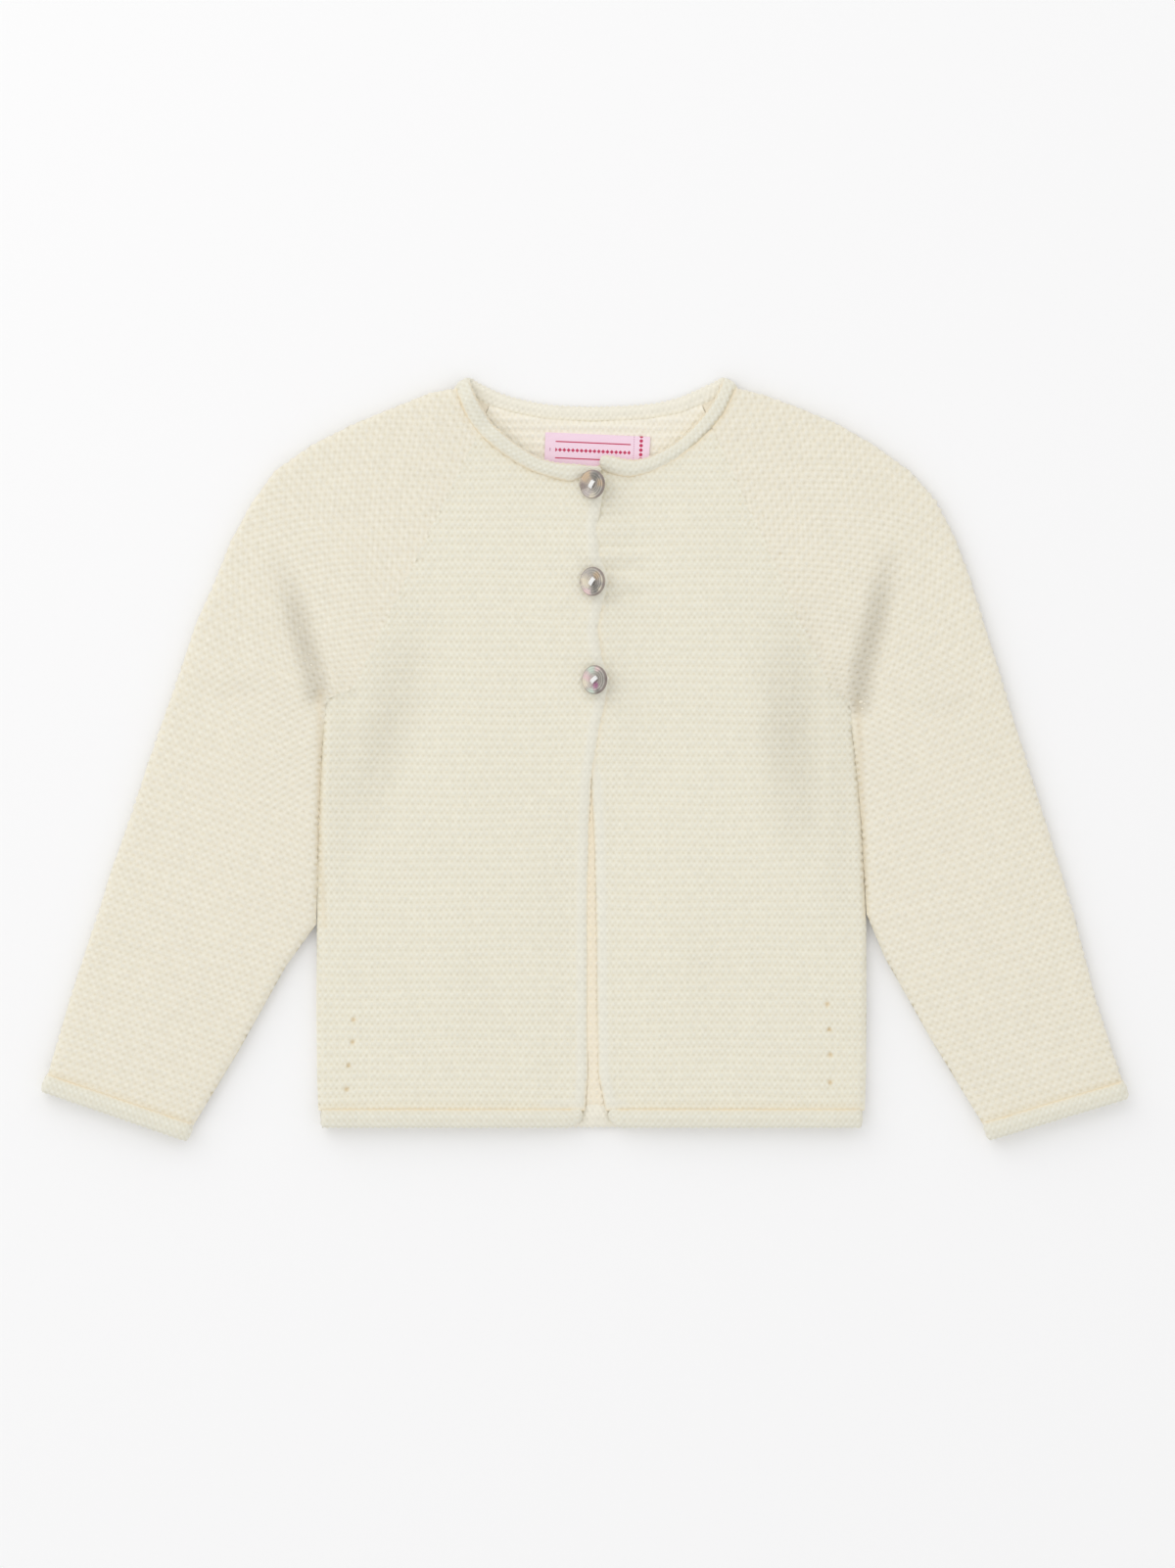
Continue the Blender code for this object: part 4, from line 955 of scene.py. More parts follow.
# Painted warm shade in the crevice where a panel is sewn to a rolled edge: its strength, and how fast it
# fades.
SEAM_WARMTH, WARM_REACH = 0.7, 0.9 * MM
EVEN_FROM, EVEN_TO, EVEN_WEIGHT = 1.5 * MM, 9 * MM, 0.9  # a panel's flat is evened out away from its rim
CUT_FADE = 5 * MM  # the troughs fade out towards a cut edge


def smoothed(heights, edges, weights, times=40):
    """Heights evened out between neighbours, more where the weight is larger."""
    count = np.bincount(edges.ravel(), minlength=len(heights))
    for _ in range(times):
        total = np.bincount(edges[:, 0], heights[edges[:, 1]], len(heights))
        total += np.bincount(edges[:, 1], heights[edges[:, 0]], len(heights))
        heights = heights + weights * (total / np.maximum(count, 1) - heights)
    return heights


def roll_surfaces():
    """One tree of all the rolled edges, to tell which cut edges they are sewn to."""
    points, faces = [], []
    for name, node in nodes.items():
        if "roll" in name:
            start = len(points)
            points += [vert.co.copy() for vert in node.data.vertices]
            faces += [[start + i for i in face.vertices] for face in node.data.polygons]
    return BVHTree.FromPolygons(points, faces)


rolls = roll_surfaces()


def near_rolls(points, outline):
    """How near each point is to a seam with a rolled edge, from 0 to 1."""
    sewn = [i for i in np.flatnonzero(outline) if rolls.find_nearest(Vector(points[i]), SEWN_WITHIN)[0]]
    if not sewn:
        return np.zeros(len(points))
    return np.exp(-distances(points[:, :2], points[sewn][:, :2]) / WARM_REACH)


def laid_mesh(node, knit, faces):
    """A solid's mesh with stitch points on its outer faces. faces lists (side, points a stitch, window)."""
    bm = merged_copy(node)
    for side, across, window in faces:
        lay_stitches(bm, knit, side, across, window)
    bmesh.ops.triangulate(bm, faces=[face for face in bm.faces if len(face.verts) > 4])
    mesh = bpy.data.meshes.new(node + "_knit")
    bm.to_mesh(mesh)
    bm.free()
    return mesh


def shape_flat(mesh, node):
    """Evens out the flat and presses in the creases. Returns how closely the cloth is pressed together."""
    points, counts, reach = (read(mesh, name) for name in ("position", "knit", "reach"))
    upper, laid, outline = counts[:, 2] > 0, counts[:, 2] != 0, reach[:, 2] != 0
    evening = EVEN_WEIGHT * smoothstep(EVEN_FROM, EVEN_TO, reach[:, 1]) * laid
    points[:, 2] = smoothed(points[:, 2], edge_ends(mesh), evening)
    sunk = np.zeros(len(points))
    if node != "back_panel":
        down, close = pressed(points[:, :2])
        points[:, 2] -= down * smoothstep(0, CUT_FADE, reach[:, 0]) * upper
        sunk = close * (upper | outline)
    points[:, 2] += risen(node, points[:, :2]) * (upper | (reach[:, 2] > 0))
    write(mesh, "position", points)
    return sunk


def panel(node, knit, faces, finish):
    """The knitted piece that replaces a panel's solid."""
    mesh = laid_mesh(node, knit, faces)
    sunk = shape_flat(mesh, node)
    points, counts, reach = (read(mesh, name) for name in ("position", "knit", "reach"))
    facing, outline, normals = counts[:, 2], reach[:, 2] != 0, normals_of(mesh)
    upper, laid = facing > 0, facing != 0

    edge = selvedge(node, points, outline)
    deep = pitted(points[:, :2]) * upper * (node != "back_panel")
    height = garter(counts[:, :2])
    level = np.where(facing + reach[:, 2] < 0, 1.0, MEAN_HEIGHT)
    relief = RELIEF * (1 - SELVEDGE_CALM * edge) * (1 + CLOSE_RELIEF * sunk)
    out = relief * (height - level) - PIT_DEPTH * deep
    points += normals * (out * laid)[:, None]
    points[outline, 2] += (out * reach[:, 2])[outline]
    sideways = normals[outline, :2]
    sideways /= np.maximum(np.linalg.norm(sideways, axis=1, keepdims=True), 1e-9)
    points[outline, :2] += sideways * SEAM_CLOSE
    points[:, 2] = np.maximum(points[:, 2], 0)
    write(mesh, "position", points)

    sharp = mesh.attributes.get("sharp_edge") or mesh.attributes.new("sharp_edge", "BOOLEAN", "EDGE")
    sharp.data.foreach_set("value", outline[edge_ends(mesh)].all(axis=1))
    crest = np.where(laid | outline, height, PLAIN_CREST)
    # Painted warm shade at seams, beside the sleeves, in the opening and in the pits; painted shade in
    # creases and pits.
    warm = SEAM_WARMTH * near_rolls(points, outline) * (node != "back_panel")
    warm = np.maximum(warm, painted_warm_share(node, points[:, :2], outline))
    write(mesh, "look", np.column_stack([crest, np.maximum(warm, deep), edge]))
    write(mesh, "sunk", np.column_stack([np.maximum(sunk, PIT_SHADE * deep)] * 3))
    keep_counts(mesh, counts)
    for name in ("knit", "reach"):
        mesh.attributes.remove(mesh.attributes[name])
    return knitted(mesh, node, finish)


FINE, COARSE = 4, 2  # points a stitch on the face that is seen, and on the one underneath
NECK_WINDOW, SLIT_WINDOW = (-62.0, 112.0, 70.0, 160.0), (-6.0, -154.0, 14.0, 12.0)
panels = {
    "front_right": panel("front_right", body_knit, [(1, FINE, None)], body_wool),
    "front_left": panel("front_left", body_knit, [(1, FINE, None)], body_wool),
    "sleeve_right": panel("sleeve_right", right_knit, [(1, FINE, None), (-1, COARSE, None)], sleeve_wool),
    "sleeve_left": panel("sleeve_left", left_knit, [(1, FINE, None), (-1, COARSE, None)], sleeve_wool),
    "back_panel": panel(
        "back_panel", body_knit, [(-1, COARSE, None), (1, FINE, [NECK_WINDOW, SLIT_WINDOW])], back_wool
    ),
}

# %% [markdown]
# ## Rolled edges
# Plain knitting curls at its edge until the purl side shows. Each rolled edge is a soft tube that is swept
# through stations: a centre, the half width towards the fold and the half height out from the cloth. The
# same staggered bumps run along it. A tube is the right start here, because the curl hides its own end.

# %% Sweeping a tube of purl rows
PURL_STITCH = 2.5 * MM
PURL_ROW = 3.2 * MM  # two rows of bumps
PURL_RELIEF = 0.65 * MM
INSIDE_RELIEF = 0.5  # the stitches stand out by this much more where a roll shows its other side
AROUND = 36
PURL_LEVEL = 0.75  # the height of bump that keeps the tube's own size
FULL_RELIEF_FROM = 2.5 * MM  # a thinner tube has lower bumps
SEAM_BAND = 0.16  # how wide the painted warm shade beside a seam is
SEAM_FADE = 7 * MM  # it fades out towards the end of a roll
# Painted warm shade at a seam: its strength, and the least it drops to from stitch to stitch.
SEAM_GLOW, LEAST_GLOW = 0.85, 0.6
FLAT_END, ROUND_END, LEAST_END = 0.6 * MM, 0.9, 0.02  # how a roll's end closes
STATION_STEPS, STITCH_STEPS = 40, 4


def through(rows, at):
    """Smooth values between rows at fractions of a row, as a Catmull-Rom curve."""
    rows = np.array(rows, float)
    index = np.clip(np.floor(at).astype(int), 0, len(rows) - 2)
    share = (at - index)[:, None]
    before, after = np.maximum(index - 1, 0), np.minimum(index + 2, len(rows) - 1)
    a, b, c, d = rows[before], rows[index], rows[index + 1], rows[after]
    return 0.5 * (2 * b + (c - a) * share + (2 * a - 5 * b + 4 * c - d) * share**2
                  + (3 * b - a - 3 * c + d) * share**3)


def evenly(stations, ring):
    """Rows of the stations at even steps along the roll, and how far along each one is."""
    if ring:
        stations = np.vstack([stations[-1:], stations, stations[:2]])
    first, last = (1, len(stations) - 2) if ring else (0, len(stations) - 1)
    fine = np.linspace(first, last, STATION_STEPS * (last - first) + 1)
    steps = np.linalg.norm(np.diff(through(stations, fine)[:, :3], axis=0), axis=1)
    length = np.concatenate([[0], np.cumsum(steps)])
    count = max(int(round(length[-1] / (PURL_STITCH / STITCH_STEPS))), 8)
    along = np.linspace(0, length[-1], count + 1)
    return through(stations, np.interp(along, length, fine)), along


def closed_ends(along, wide, high, round_ends):
    """The half widths and half heights, drawn in at both ends of a roll."""
    for end, is_round in zip((0, -1), round_ends):
        reach = np.linalg.norm(wide[end]) * ROUND_END if is_round else FLAT_END
        gap = along if end == 0 else along[-1] - along
        size = np.sqrt(np.clip(1 - (1 - np.clip(gap / reach, 0, 1)) ** 2, LEAST_END**2, 1))
        wide, high = wide * size[:, None], high * size[:, None]
    return wide, high


def tube(name, points, ring):
    """A closed mesh through rows of points. In a ring the last row is the first one again."""
    bm = bmesh.new()
    grid = [[bm.verts.new(point) for point in row] for row in (points[:-1] if ring else points)]
    for one, two in zip(grid, grid[1:] + grid[:1] if ring else grid[1:]):
        for i in range(AROUND):
            j = (i + 1) % AROUND
            bm.faces.new((one[i], one[j], two[j], two[i]))
    if not ring:
        bm.faces.new(grid[0])
        bm.faces.new(grid[-1][::-1])
    bmesh.ops.recalc_face_normals(bm, faces=bm.faces)
    mesh = bpy.data.meshes.new(name)
    bm.to_mesh(mesh)
    bm.free()
    return mesh


def rolled_edge(node, stations, ring=False, round_ends=(True, True), warm_fold=0.0):
    """The knitted tube that replaces a rolled edge's solid."""
    rows, along = evenly(np.array(stations), ring)
    centre, wide, high = rows[:, :3], rows[:, 3:6], rows[:, 6:9]
    facing = high[:, 2] / np.linalg.norm(high, axis=1)
    on_top, inside_out = np.clip(facing, 0, 1), smoothstep(0, 0.8, -facing)
    to_end = np.full(len(along), np.inf)
    if not ring:
        to_end = np.minimum(along, along[-1] - along)
        wide, high = closed_ends(along, wide, high, round_ends)
    turn = np.linspace(0, 2 * np.pi, AROUND, endpoint=False)
    outward = wide[:, None] * np.cos(turn)[None, :, None] + high[:, None] * np.sin(turn)[None, :, None]
    points = centre[:, None] + outward
    outward /= np.maximum(np.linalg.norm(outward, axis=2, keepdims=True), 1e-9)
    girth = np.pi * (np.linalg.norm(wide, axis=1) + np.linalg.norm(high, axis=1)).max()
    purl_rows = max(int(round(girth / PURL_ROW)), 4)
    counts = np.stack(np.broadcast_arrays(
        along[:, None] / PURL_STITCH, turn[None] / (2 * np.pi) * purl_rows
    ), axis=-1)

    crest = garter(counts.reshape(-1, 2)).reshape(len(along), AROUND)
    thick = np.minimum(1, np.linalg.norm(wide, axis=1) / FULL_RELIEF_FROM)[:, None]
    by_seam = np.exp(-((1 + np.cos(turn)) / SEAM_BAND) ** 2)[None]
    by_fold = np.exp(-((1 - np.cos(turn)) / SEAM_BAND) ** 2)[None]
    relief = PURL_RELIEF * (1 + INSIDE_RELIEF * inside_out)[:, None] * thick
    points += outward * (relief * (crest - PURL_LEVEL) * (1 - by_seam))[..., None]
    points[..., 2] = np.maximum(points[..., 2], 0)
    # Painted warm shade in the crevice at the seam, and at the fold where warm_fold asks for it.
    warm_share = on_top * smoothstep(0, SEAM_FADE, to_end)
    warm = (SEAM_GLOW * by_seam + warm_fold * by_fold) * warm_share[:, None]
    warm *= (LEAST_GLOW + (1 - LEAST_GLOW) * uneven(along / PURL_STITCH / 2, 0 * along))[:, None]

    mesh = tube(node + "_purl", points, ring)
    used = len(mesh.vertices)
    inside_out = np.broadcast_to(inside_out[:, None], crest.shape)
    write(mesh, "look", np.stack([crest, warm, inside_out], axis=-1).reshape(-1, 3)[:used])
    keep_counts(mesh, counts.reshape(-1, 2))
    return knitted(mesh, node, roll_wool)


# %% Where each rolled edge runs
WALL, FOLD_Z, ROLL_GAP = 2.2, 4.0, 0.6
CLOTH_Z, OVER_CLOTH = 6.9, 14.0
ROLL_WIDTH, ROLL_TOP, ROLL_UNDER, ROLL_SIDE = 7.5, 5.2, 3.4, 3.0
HEM_Y = -154.0
HEM_TURN = 0.15  # half the space between the front's roll and the back's, where they meet at a side
HEM_SHARES = (0.0, 0.02, 0.05, 0.1, 0.2, 0.4, 0.6, 0.8, 1.0)
HEM_CORNER, HEM_GROWN = 0.55, 0.05  # a front's roll starts this small, and is full grown from here on
TUCK_TOP, TUCK_UNDER = 0.8, 2.0  # how far a roll tucks into its seam, on top and underneath
# The back's hem roll is fuller at the foot of the slit, and starts further in there.
FOOT_X, FOOT_WIDE, FOOT_RISE, FOOT_START = 4.7, 14.0, 2.1, 1.8
BACK_STATIONS, SIDE_TURN, CUFF_TURN = 41, 50, 45  # stations of the back's hem roll, and turns in degrees
CUFF_TOP_STATIONS, CUFF_UNDER_STATIONS, CUFF_SWELL = 6, 4, 0.5
UPWARD, DOWNWARD = (0, 0, 1), (0, 0, -1)


def station(seam, toward, out, width, height):
    """Centre, half width and half height, from where the roll is picked up. Sizes are in millimetres."""
    seam, toward, out = (np.array(value, float) for value in (seam, toward, out))
    tuck = TUCK_TOP + (TUCK_UNDER - TUCK_TOP) * (1 - out[2]) / 2
    seam, width = seam - toward * tuck, width + tuck
    centre = seam + toward * width / 2 + out * height / 2
    return np.concatenate([centre, toward * width / 2, out * height / 2]) * MM


def top_surface(node):
    """A tree of the faces of a solid that look up and lie on top."""
    solid = merged_copy(node)
    tree = surface_of(outer_faces(solid, 1))
    solid.free()
    return tree


def top_at(tree, x, y):
    """The height of a face that looks up, nearest to a place over it."""
    return tree.find_nearest(Vector((x, y, OVER_CLOTH)) * MM)[0].z / MM


def hem_turn(side, pivot, degrees, z):
    """A station where a hem roll turns round a side seam."""
    turn = np.radians(degrees)
    out = np.array([side * np.cos(turn), 0, np.sin(turn)])
    return station(np.array([pivot, HEM_Y, z]) + out * ROLL_GAP, (0, -1, 0), out, ROLL_WIDTH, ROLL_SIDE)


def hem_stations(side, solid):
    """Stations of a front's hem roll, from its corner by the slit to the side seam."""
    low, high = (np.array(corner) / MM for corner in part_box(solid))
    corner, far = (high[0], low[0]) if side < 0 else (low[0], high[0])
    pivot = far - side * (ROLL_SIDE + ROLL_GAP)
    tree = top_surface(solid)
    found = []
    for share in HEM_SHARES:
        x = corner + (pivot - corner) * share
        size = HEM_CORNER + (1 - HEM_CORNER) * min(share / HEM_GROWN, 1)
        height = ROLL_TOP * size
        seam = (x, HEM_Y, top_at(tree, x, HEM_Y - ROLL_WIDTH / 2) - height)
        found.append(station(seam, (0, -1, 0), UPWARD, ROLL_WIDTH * size, height))
    return found + [hem_turn(side, pivot, degrees, FOLD_Z + HEM_TURN) for degrees in (SIDE_TURN, 0)]


def back_hem_stations():
    """Stations of the back's hem roll, from side seam to side seam."""
    low, high = (np.array(corner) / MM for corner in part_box("hem_roll_back"))
    inset = ROLL_SIDE + ROLL_GAP
    right, left = low[0] + inset, high[0] - inset
    middle = []
    for x in np.linspace(right, left, BACK_STATIONS):
        share = across_line(abs(x - FOOT_X) * MM, FOOT_WIDE)
        height, start = ROLL_UNDER + FOOT_RISE * share, FOOT_START * share
        seam = (x, HEM_Y + start, height)
        middle.append(station(seam, (0, -1, 0), DOWNWARD, ROLL_WIDTH + start, height))
    starts = [hem_turn(-1, right, degrees, FOLD_Z - HEM_TURN) for degrees in (0, -SIDE_TURN)]
    ends = [hem_turn(1, left, degrees, FOLD_Z - HEM_TURN) for degrees in (-SIDE_TURN, 0)]
    return starts + middle + ends


# The fold and the seam at each cuff.
CUFFS = {
    "cuff_roll_right": ((-236.5, -138.5), (-172.5, -160.5)),
    "cuff_roll_left": ((236.8, -141.5), (175.5, -160.0)),
}


def cuff_stations(fold, seam):
    """A closed ring of stations: over the upper layer, round the fold, under the lower one and back."""
    fold, seam = np.array((*fold, 0)), np.array((*seam, 0))
    along = (fold - seam) / np.linalg.norm(fold - seam)
    toward = np.array([along[1], -along[0], 0])
    toward *= -np.sign(toward[1])
    reach = ROLL_GAP + WALL
    near, far = seam + along * reach, fold - along * reach

    def flat(share, out, height, z):
        return station(near + (far - near) * share + (0, 0, z), toward, out, ROLL_WIDTH, height)

    def round_end(pivot, side, degrees):
        turn = np.radians(degrees)
        out = side * along * np.cos(turn) + np.array([0, 0, np.sin(turn)])
        height = ROLL_SIDE + (ROLL_TOP - ROLL_SIDE) * max(np.sin(turn), 0) * CUFF_SWELL
        return station(pivot + (0, 0, FOLD_Z) + out * ROLL_GAP, toward, out, ROLL_WIDTH, height)

    over = np.linspace(0, 1, CUFF_TOP_STATIONS)
    found = [flat(share, UPWARD, ROLL_TOP, CLOTH_Z - WALL) for share in over]
    found += [round_end(far, 1, degrees) for degrees in (CUFF_TURN, 0, -CUFF_TURN)]
    under = np.linspace(1, 0, CUFF_UNDER_STATIONS)
    found += [flat(share, DOWNWARD, ROLL_UNDER, ROLL_UNDER) for share in under]
    return found + [round_end(near, -1, degrees) for degrees in (-CUFF_TURN, 0, CUFF_TURN)]


# The neck: a place on the seam, the place on the fold across from it, the layer and the height.
NECK = [
    (7.4, 127.5, 7.2, 128.8, 1, 1.6), (4.4, 126.6, 4.3, 129.1, 1, 2.3), (1.0, 125.6, 1.0, 129.4, 1, 3.0),
    (-2.3, 124.4, -2.2, 129.9, 1, 3.8), (-7.0, 123.2, -6.6, 130.2, 1, 5.0),
    (-15.5, 125.2, -14.0, 131.0, 1, 5.2), (-24.5, 128.4, -22.0, 133.9, 1, 5.2),
    (-34.5, 134.4, -31.0, 139.6, 1, 5.2), (-42.0, 140.2, -37.1, 144.8, 1, 5.2),
    (-46.2, 144.2, -40.7, 148.2, 1, 5.2), (-51.3, 151.5, -45.1, 155.0, 1, 5.2),
    (-54.2, 158.5, -48.4, 161.3, 1, 4.8), (-54.5, 162.0, -49.0, 165.6, 0, 3.6),
    (-50.2, 160.4, -46.3, 165.8, -1, 3.4), (-42.0, 155.9, -39.3, 162.4, -1, 3.4),
    (-33.0, 152.8, -31.0, 159.5, -1, 3.4), (-17.3, 149.6, -16.5, 156.5, -1, 3.4),
    (3.5, 148.5, 3.5, 155.5, -1, 3.4), (27.3, 149.6, 26.5, 156.5, -1, 3.4),
    (42.0, 152.2, 40.1, 159.1, -1, 3.4), (51.5, 156.2, 48.5, 162.5, -1, 3.4),
    (60.2, 160.6, 56.2, 166.0, -1, 3.4), (64.4, 162.1, 58.8, 165.6, 0, 3.6),
    (64.1, 158.5, 58.3, 161.5, 1, 4.8), (61.0, 152.2, 54.7, 155.3, 1, 5.2),
    (55.9, 145.8, 50.3, 149.7, 1, 5.2), (49.6, 139.6, 44.8, 144.0, 1, 5.2),
    (41.0, 133.2, 37.6, 138.2, 1, 5.2), (30.4, 127.8, 28.2, 133.4, 1, 5.2),
    (20.1, 125.1, 20.1, 132.1, 1, 5.2), (12.8, 126.2, 12.3, 133.6, 1, 5.2),
    (8.6, 128.0, 8.3, 134.0, 1, 4.6), (6.4, 129.6, 6.2, 132.8, 1, 3.4),
]


def neck_stations():
    """Stations of the neck roll. A layer of 1 lies on top, 0 is at a shoulder fold and -1 lies under."""
    tree = top_surface("neck_roll")
    found = []
    for seam_x, seam_y, fold_x, fold_y, layer, height in NECK:
        seam, fold = np.array((seam_x, seam_y, 0.0)), np.array((fold_x, fold_y, 0.0))
        width = np.linalg.norm(fold - seam)
        toward = (fold - seam) / width
        away = np.array((toward[1], -toward[0], 0)) * (-1 if seam_x < 0 else 1)
        out = away * np.cos(layer * np.pi / 2) + np.array((0, 0, np.sin(layer * np.pi / 2)))
        if layer == 1:
            seam[2] = top_at(tree, *(seam + fold)[:2] / 2) - height
        else:
            seam[2] = FOLD_Z
            seam += out * ROLL_GAP
        found.append(station(seam, toward, out, width, height))
    return found


front_ends = (True, False)  # round at the slit, and flat where it meets the back's roll
rolled = {
    "neck_roll": rolled_edge("neck_roll", neck_stations(), warm_fold=0.6),
    "hem_roll_right": rolled_edge("hem_roll_right", hem_stations(-1, "hem_roll_right"), False, front_ends),
    "hem_roll_left": rolled_edge("hem_roll_left", hem_stations(1, "hem_roll_left"), False, front_ends),
    "hem_roll_back": rolled_edge("hem_roll_back", back_hem_stations(), False, (False, False)),
}
for name, ends in CUFFS.items():
    rolled[name] = rolled_edge(name, cuff_stations(*ends), ring=True)

# %% [markdown]
# ## The woven label
# A small satin label is sewn inside the neck. It starts as a grid that is laid over the back panel's
# solid label and given a wall. Its weave, two crimson lines with a row of dots, and the dotted stitching
# near its end are worked out from its own flat coordinates.

# %% The label's sheet
LABEL_CENTRE = (5.3, 132.6)
LABEL_SIZE = (46.0, 21.0)
LABEL_TURN = math.radians(-2.5)
LABEL_WALL = 0.6
COLUMNS, ROWS = 92, 42


def apply_modifiers(piece):
    bpy.context.view_layer.objects.active = piece
    for modifier in list(piece.modifiers):
        bpy.ops.object.modifier_apply(modifier=modifier.name)


def settle(piece, name, slot, finish, *replaced):
    """Names a finished piece, brings its place into its mesh and ties it to the solids it stands for."""
    bpy.ops.object.select_all(action="DESELECT")
    piece.select_set(True)
    bpy.context.view_layer.objects.active = piece
    bpy.ops.object.transform_apply(location=True, rotation=True, scale=True)
    piece.name = piece.data.name = name
    piece.data.materials.clear()
    piece.data.materials.append(finish)
    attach(piece, "root")
    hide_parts(*replaced)
    piece.select_set(False)
    print(name, len(piece.data.polygons), "faces")
    return piece


bpy.ops.object.select_all(action="DESELECT")
bpy.ops.mesh.primitive_grid_add(x_subdivisions=COLUMNS, y_subdivisions=ROWS, size=1 * MM)
label = bpy.context.object
label.data.uv_layers[0].name = "label"
bpy.ops.transform.resize(value=(LABEL_SIZE[0], LABEL_SIZE[1], 1))
label.rotation_euler = (0, 0, LABEL_TURN)
label.location = (LABEL_CENTRE[0] * MM, LABEL_CENTRE[1] * MM, 0)
bpy.ops.object.transform_apply(location=True, rotation=True, scale=True)
label_top = top_surface("neck_label")
for vert in label.data.vertices:
    hit = label_top.ray_cast(Vector((vert.co.x, vert.co.y, 0.1)), Vector((0, 0, -1)))[0]
    vert.co.z = (hit or label_top.find_nearest(Vector((vert.co.x, vert.co.y, 0.01)))[0]).z
wall = label.modifiers.new("wall", "SOLIDIFY")
wall.thickness = LABEL_WALL * MM
apply_modifiers(label)

# %% The label's weave
LINES_Y = (10.0, 17.2)  # two lines along the label, and a row of diamonds between them
LINE_HALF = 0.28
MOTIF_X = (4.6, 37.6)
DIAMOND_GAP, DIAMOND_Y, DIAMOND_SIZE = 1.9, 13.6, 0.9
DOT_X, DOT_GAP, DOT_RADIUS = 42.2, 2.0, 0.78
STITCHING_X, STITCH_RUN, STITCH_DASH = (38.9, 39.2), 0.5, (0.2, 0.6)
FIRST_STITCH = (2.1, 2.5, 12.9, 14.3)
WEFT_GAP, WARP_GAP = 0.52, 0.4
WEFT_SHARE, WARP_SHARE = 0.3, 0.2
SATIN_DARK, SATIN_LIGHT = (0.89, 0.61, 0.76), (0.99, 0.81, 0.91)
CRIMSON, PLUM = (0.56, 0.02, 0.10), (0.58, 0.28, 0.42)


def band(tree, value, low, high):
    """1 where a value lies between two limits."""
    above = maths(tree, "GREATER_THAN", value, low)
    return maths(tree, "MULTIPLY", above, maths(tree, "LESS_THAN", value, high))


def around(tree, value, gap):
    """How far a value is from the middle of its repeat, which is twice the gap long."""
    return maths(tree, "SUBTRACT", maths(tree, "PINGPONG", value, gap), gap / 2)


def label_finish():
    """Pink satin with its woven marks, worked out from places on the flat label in millimetres."""
    finish, tree, shader = new_finish("pink_satin", 0.5)
    shader.inputs["Sheen Weight"].default_value = 0.3
    size = vectors(tree, "MULTIPLY", uv_of(tree, "label"), (*LABEL_SIZE, 0))
    x, y, _ = parted(tree, size)
    motif = 0
    for line_y in LINES_Y:
        motif = maths(tree, "MAXIMUM", motif, band(tree, y, line_y - LINE_HALF, line_y + LINE_HALF))
    aside = maths(tree, "ABSOLUTE", around(tree, x, DIAMOND_GAP))
    above = maths(tree, "ABSOLUTE", maths(tree, "SUBTRACT", y, DIAMOND_Y))
    diamond = maths(tree, "LESS_THAN", maths(tree, "ADD", aside, above), DIAMOND_SIZE)
    motif = maths(tree, "MULTIPLY", maths(tree, "MAXIMUM", motif, diamond), band(tree, x, *MOTIF_X))
    end_x, end_y = maths(tree, "SUBTRACT", x, DOT_X), around(tree, y, DOT_GAP)
    dot = maths(tree, "ADD", maths(tree, "MULTIPLY", end_x, end_x), maths(tree, "MULTIPLY", end_y, end_y))
    motif = maths(tree, "MAXIMUM", motif, maths(tree, "LESS_THAN", dot, DOT_RADIUS**2))
    dashes = band(tree, maths(tree, "PINGPONG", y, STITCH_RUN), *STITCH_DASH)
    sewing = maths(tree, "MULTIPLY", band(tree, x, *STITCHING_X), dashes)
    x1, x2, y1, y2 = FIRST_STITCH
    first = maths(tree, "MULTIPLY", band(tree, x, x1, x2), band(tree, y, y1, y2))
    sewing = maths(tree, "MAXIMUM", sewing, first)
    weft = maths(tree, "SINE", maths(tree, "MULTIPLY", y, 2 * math.pi / WEFT_GAP))
    slanted = maths(tree, "MULTIPLY_ADD", y, 0.5, x)
    warp = maths(tree, "SINE", maths(tree, "MULTIPLY", slanted, 2 * math.pi / WARP_GAP))
    weave = maths(
        tree, "MULTIPLY_ADD", weft, WEFT_SHARE, maths(tree, "MULTIPLY_ADD", warp, WARP_SHARE, 0.5)
    )
    satin = blended(tree, weave, SATIN_DARK, SATIN_LIGHT)
    colour = blended(tree, motif, blended(tree, sewing, satin, PLUM), CRIMSON)
    tree.links.new(colour, shader.inputs["Base Color"])
    tree.links.new(bumped(tree, weave, 0.4, 0.1), shader.inputs["Normal"])
    return finish


settle(label, "label_woven", "pink_label", label_finish(), "neck_label")

# %% [markdown]
# ## Shell buttons
# A shell button is turned on a lathe: a raised rim, fine rings left by the tool, and a dished middle with
# two drilled holes. So half of its section is drawn as a line of points and spun about its axis, and the
# holes are cut by a Boolean. It is made flat, and only then leaned over on the front edge.

# %% Turning the buttons
BUTTON_TILT = math.radians(32)
BUTTON_RADIUS = 6.4
BUTTON_SECTION = [
    (0.0, 0.1), (1.2, 0.12), (2.4, 0.26), (2.8, 0.45), (3.2, 0.72), (3.9, 0.95), (4.8, 1.1), (5.4, 1.08),
    (5.9, 0.93), (6.25, 0.55), (6.4, 0.1), (6.3, -0.35), (6.0, -0.7), (5.2, -0.95), (3.6, -1.08),
    (0.0, -1.15),
]
SECTION_POINTS, BUTTON_TURNS = 76, 72
RING_GAP, RING_DEPTH, RINGED_TO, RINGED_OVER = 1.15, 0.05, 5.6, 0.1
HOLE_RADIUS, HOLE_OFFSET = 0.8, 1.2
DRILL_SIDES, DRILL_LENGTH = 24, 8
SHARP_RIM = math.radians(50)
HOLE_TURNS = {"top": 58, "middle": 53, "bottom": 40}  # degrees from across


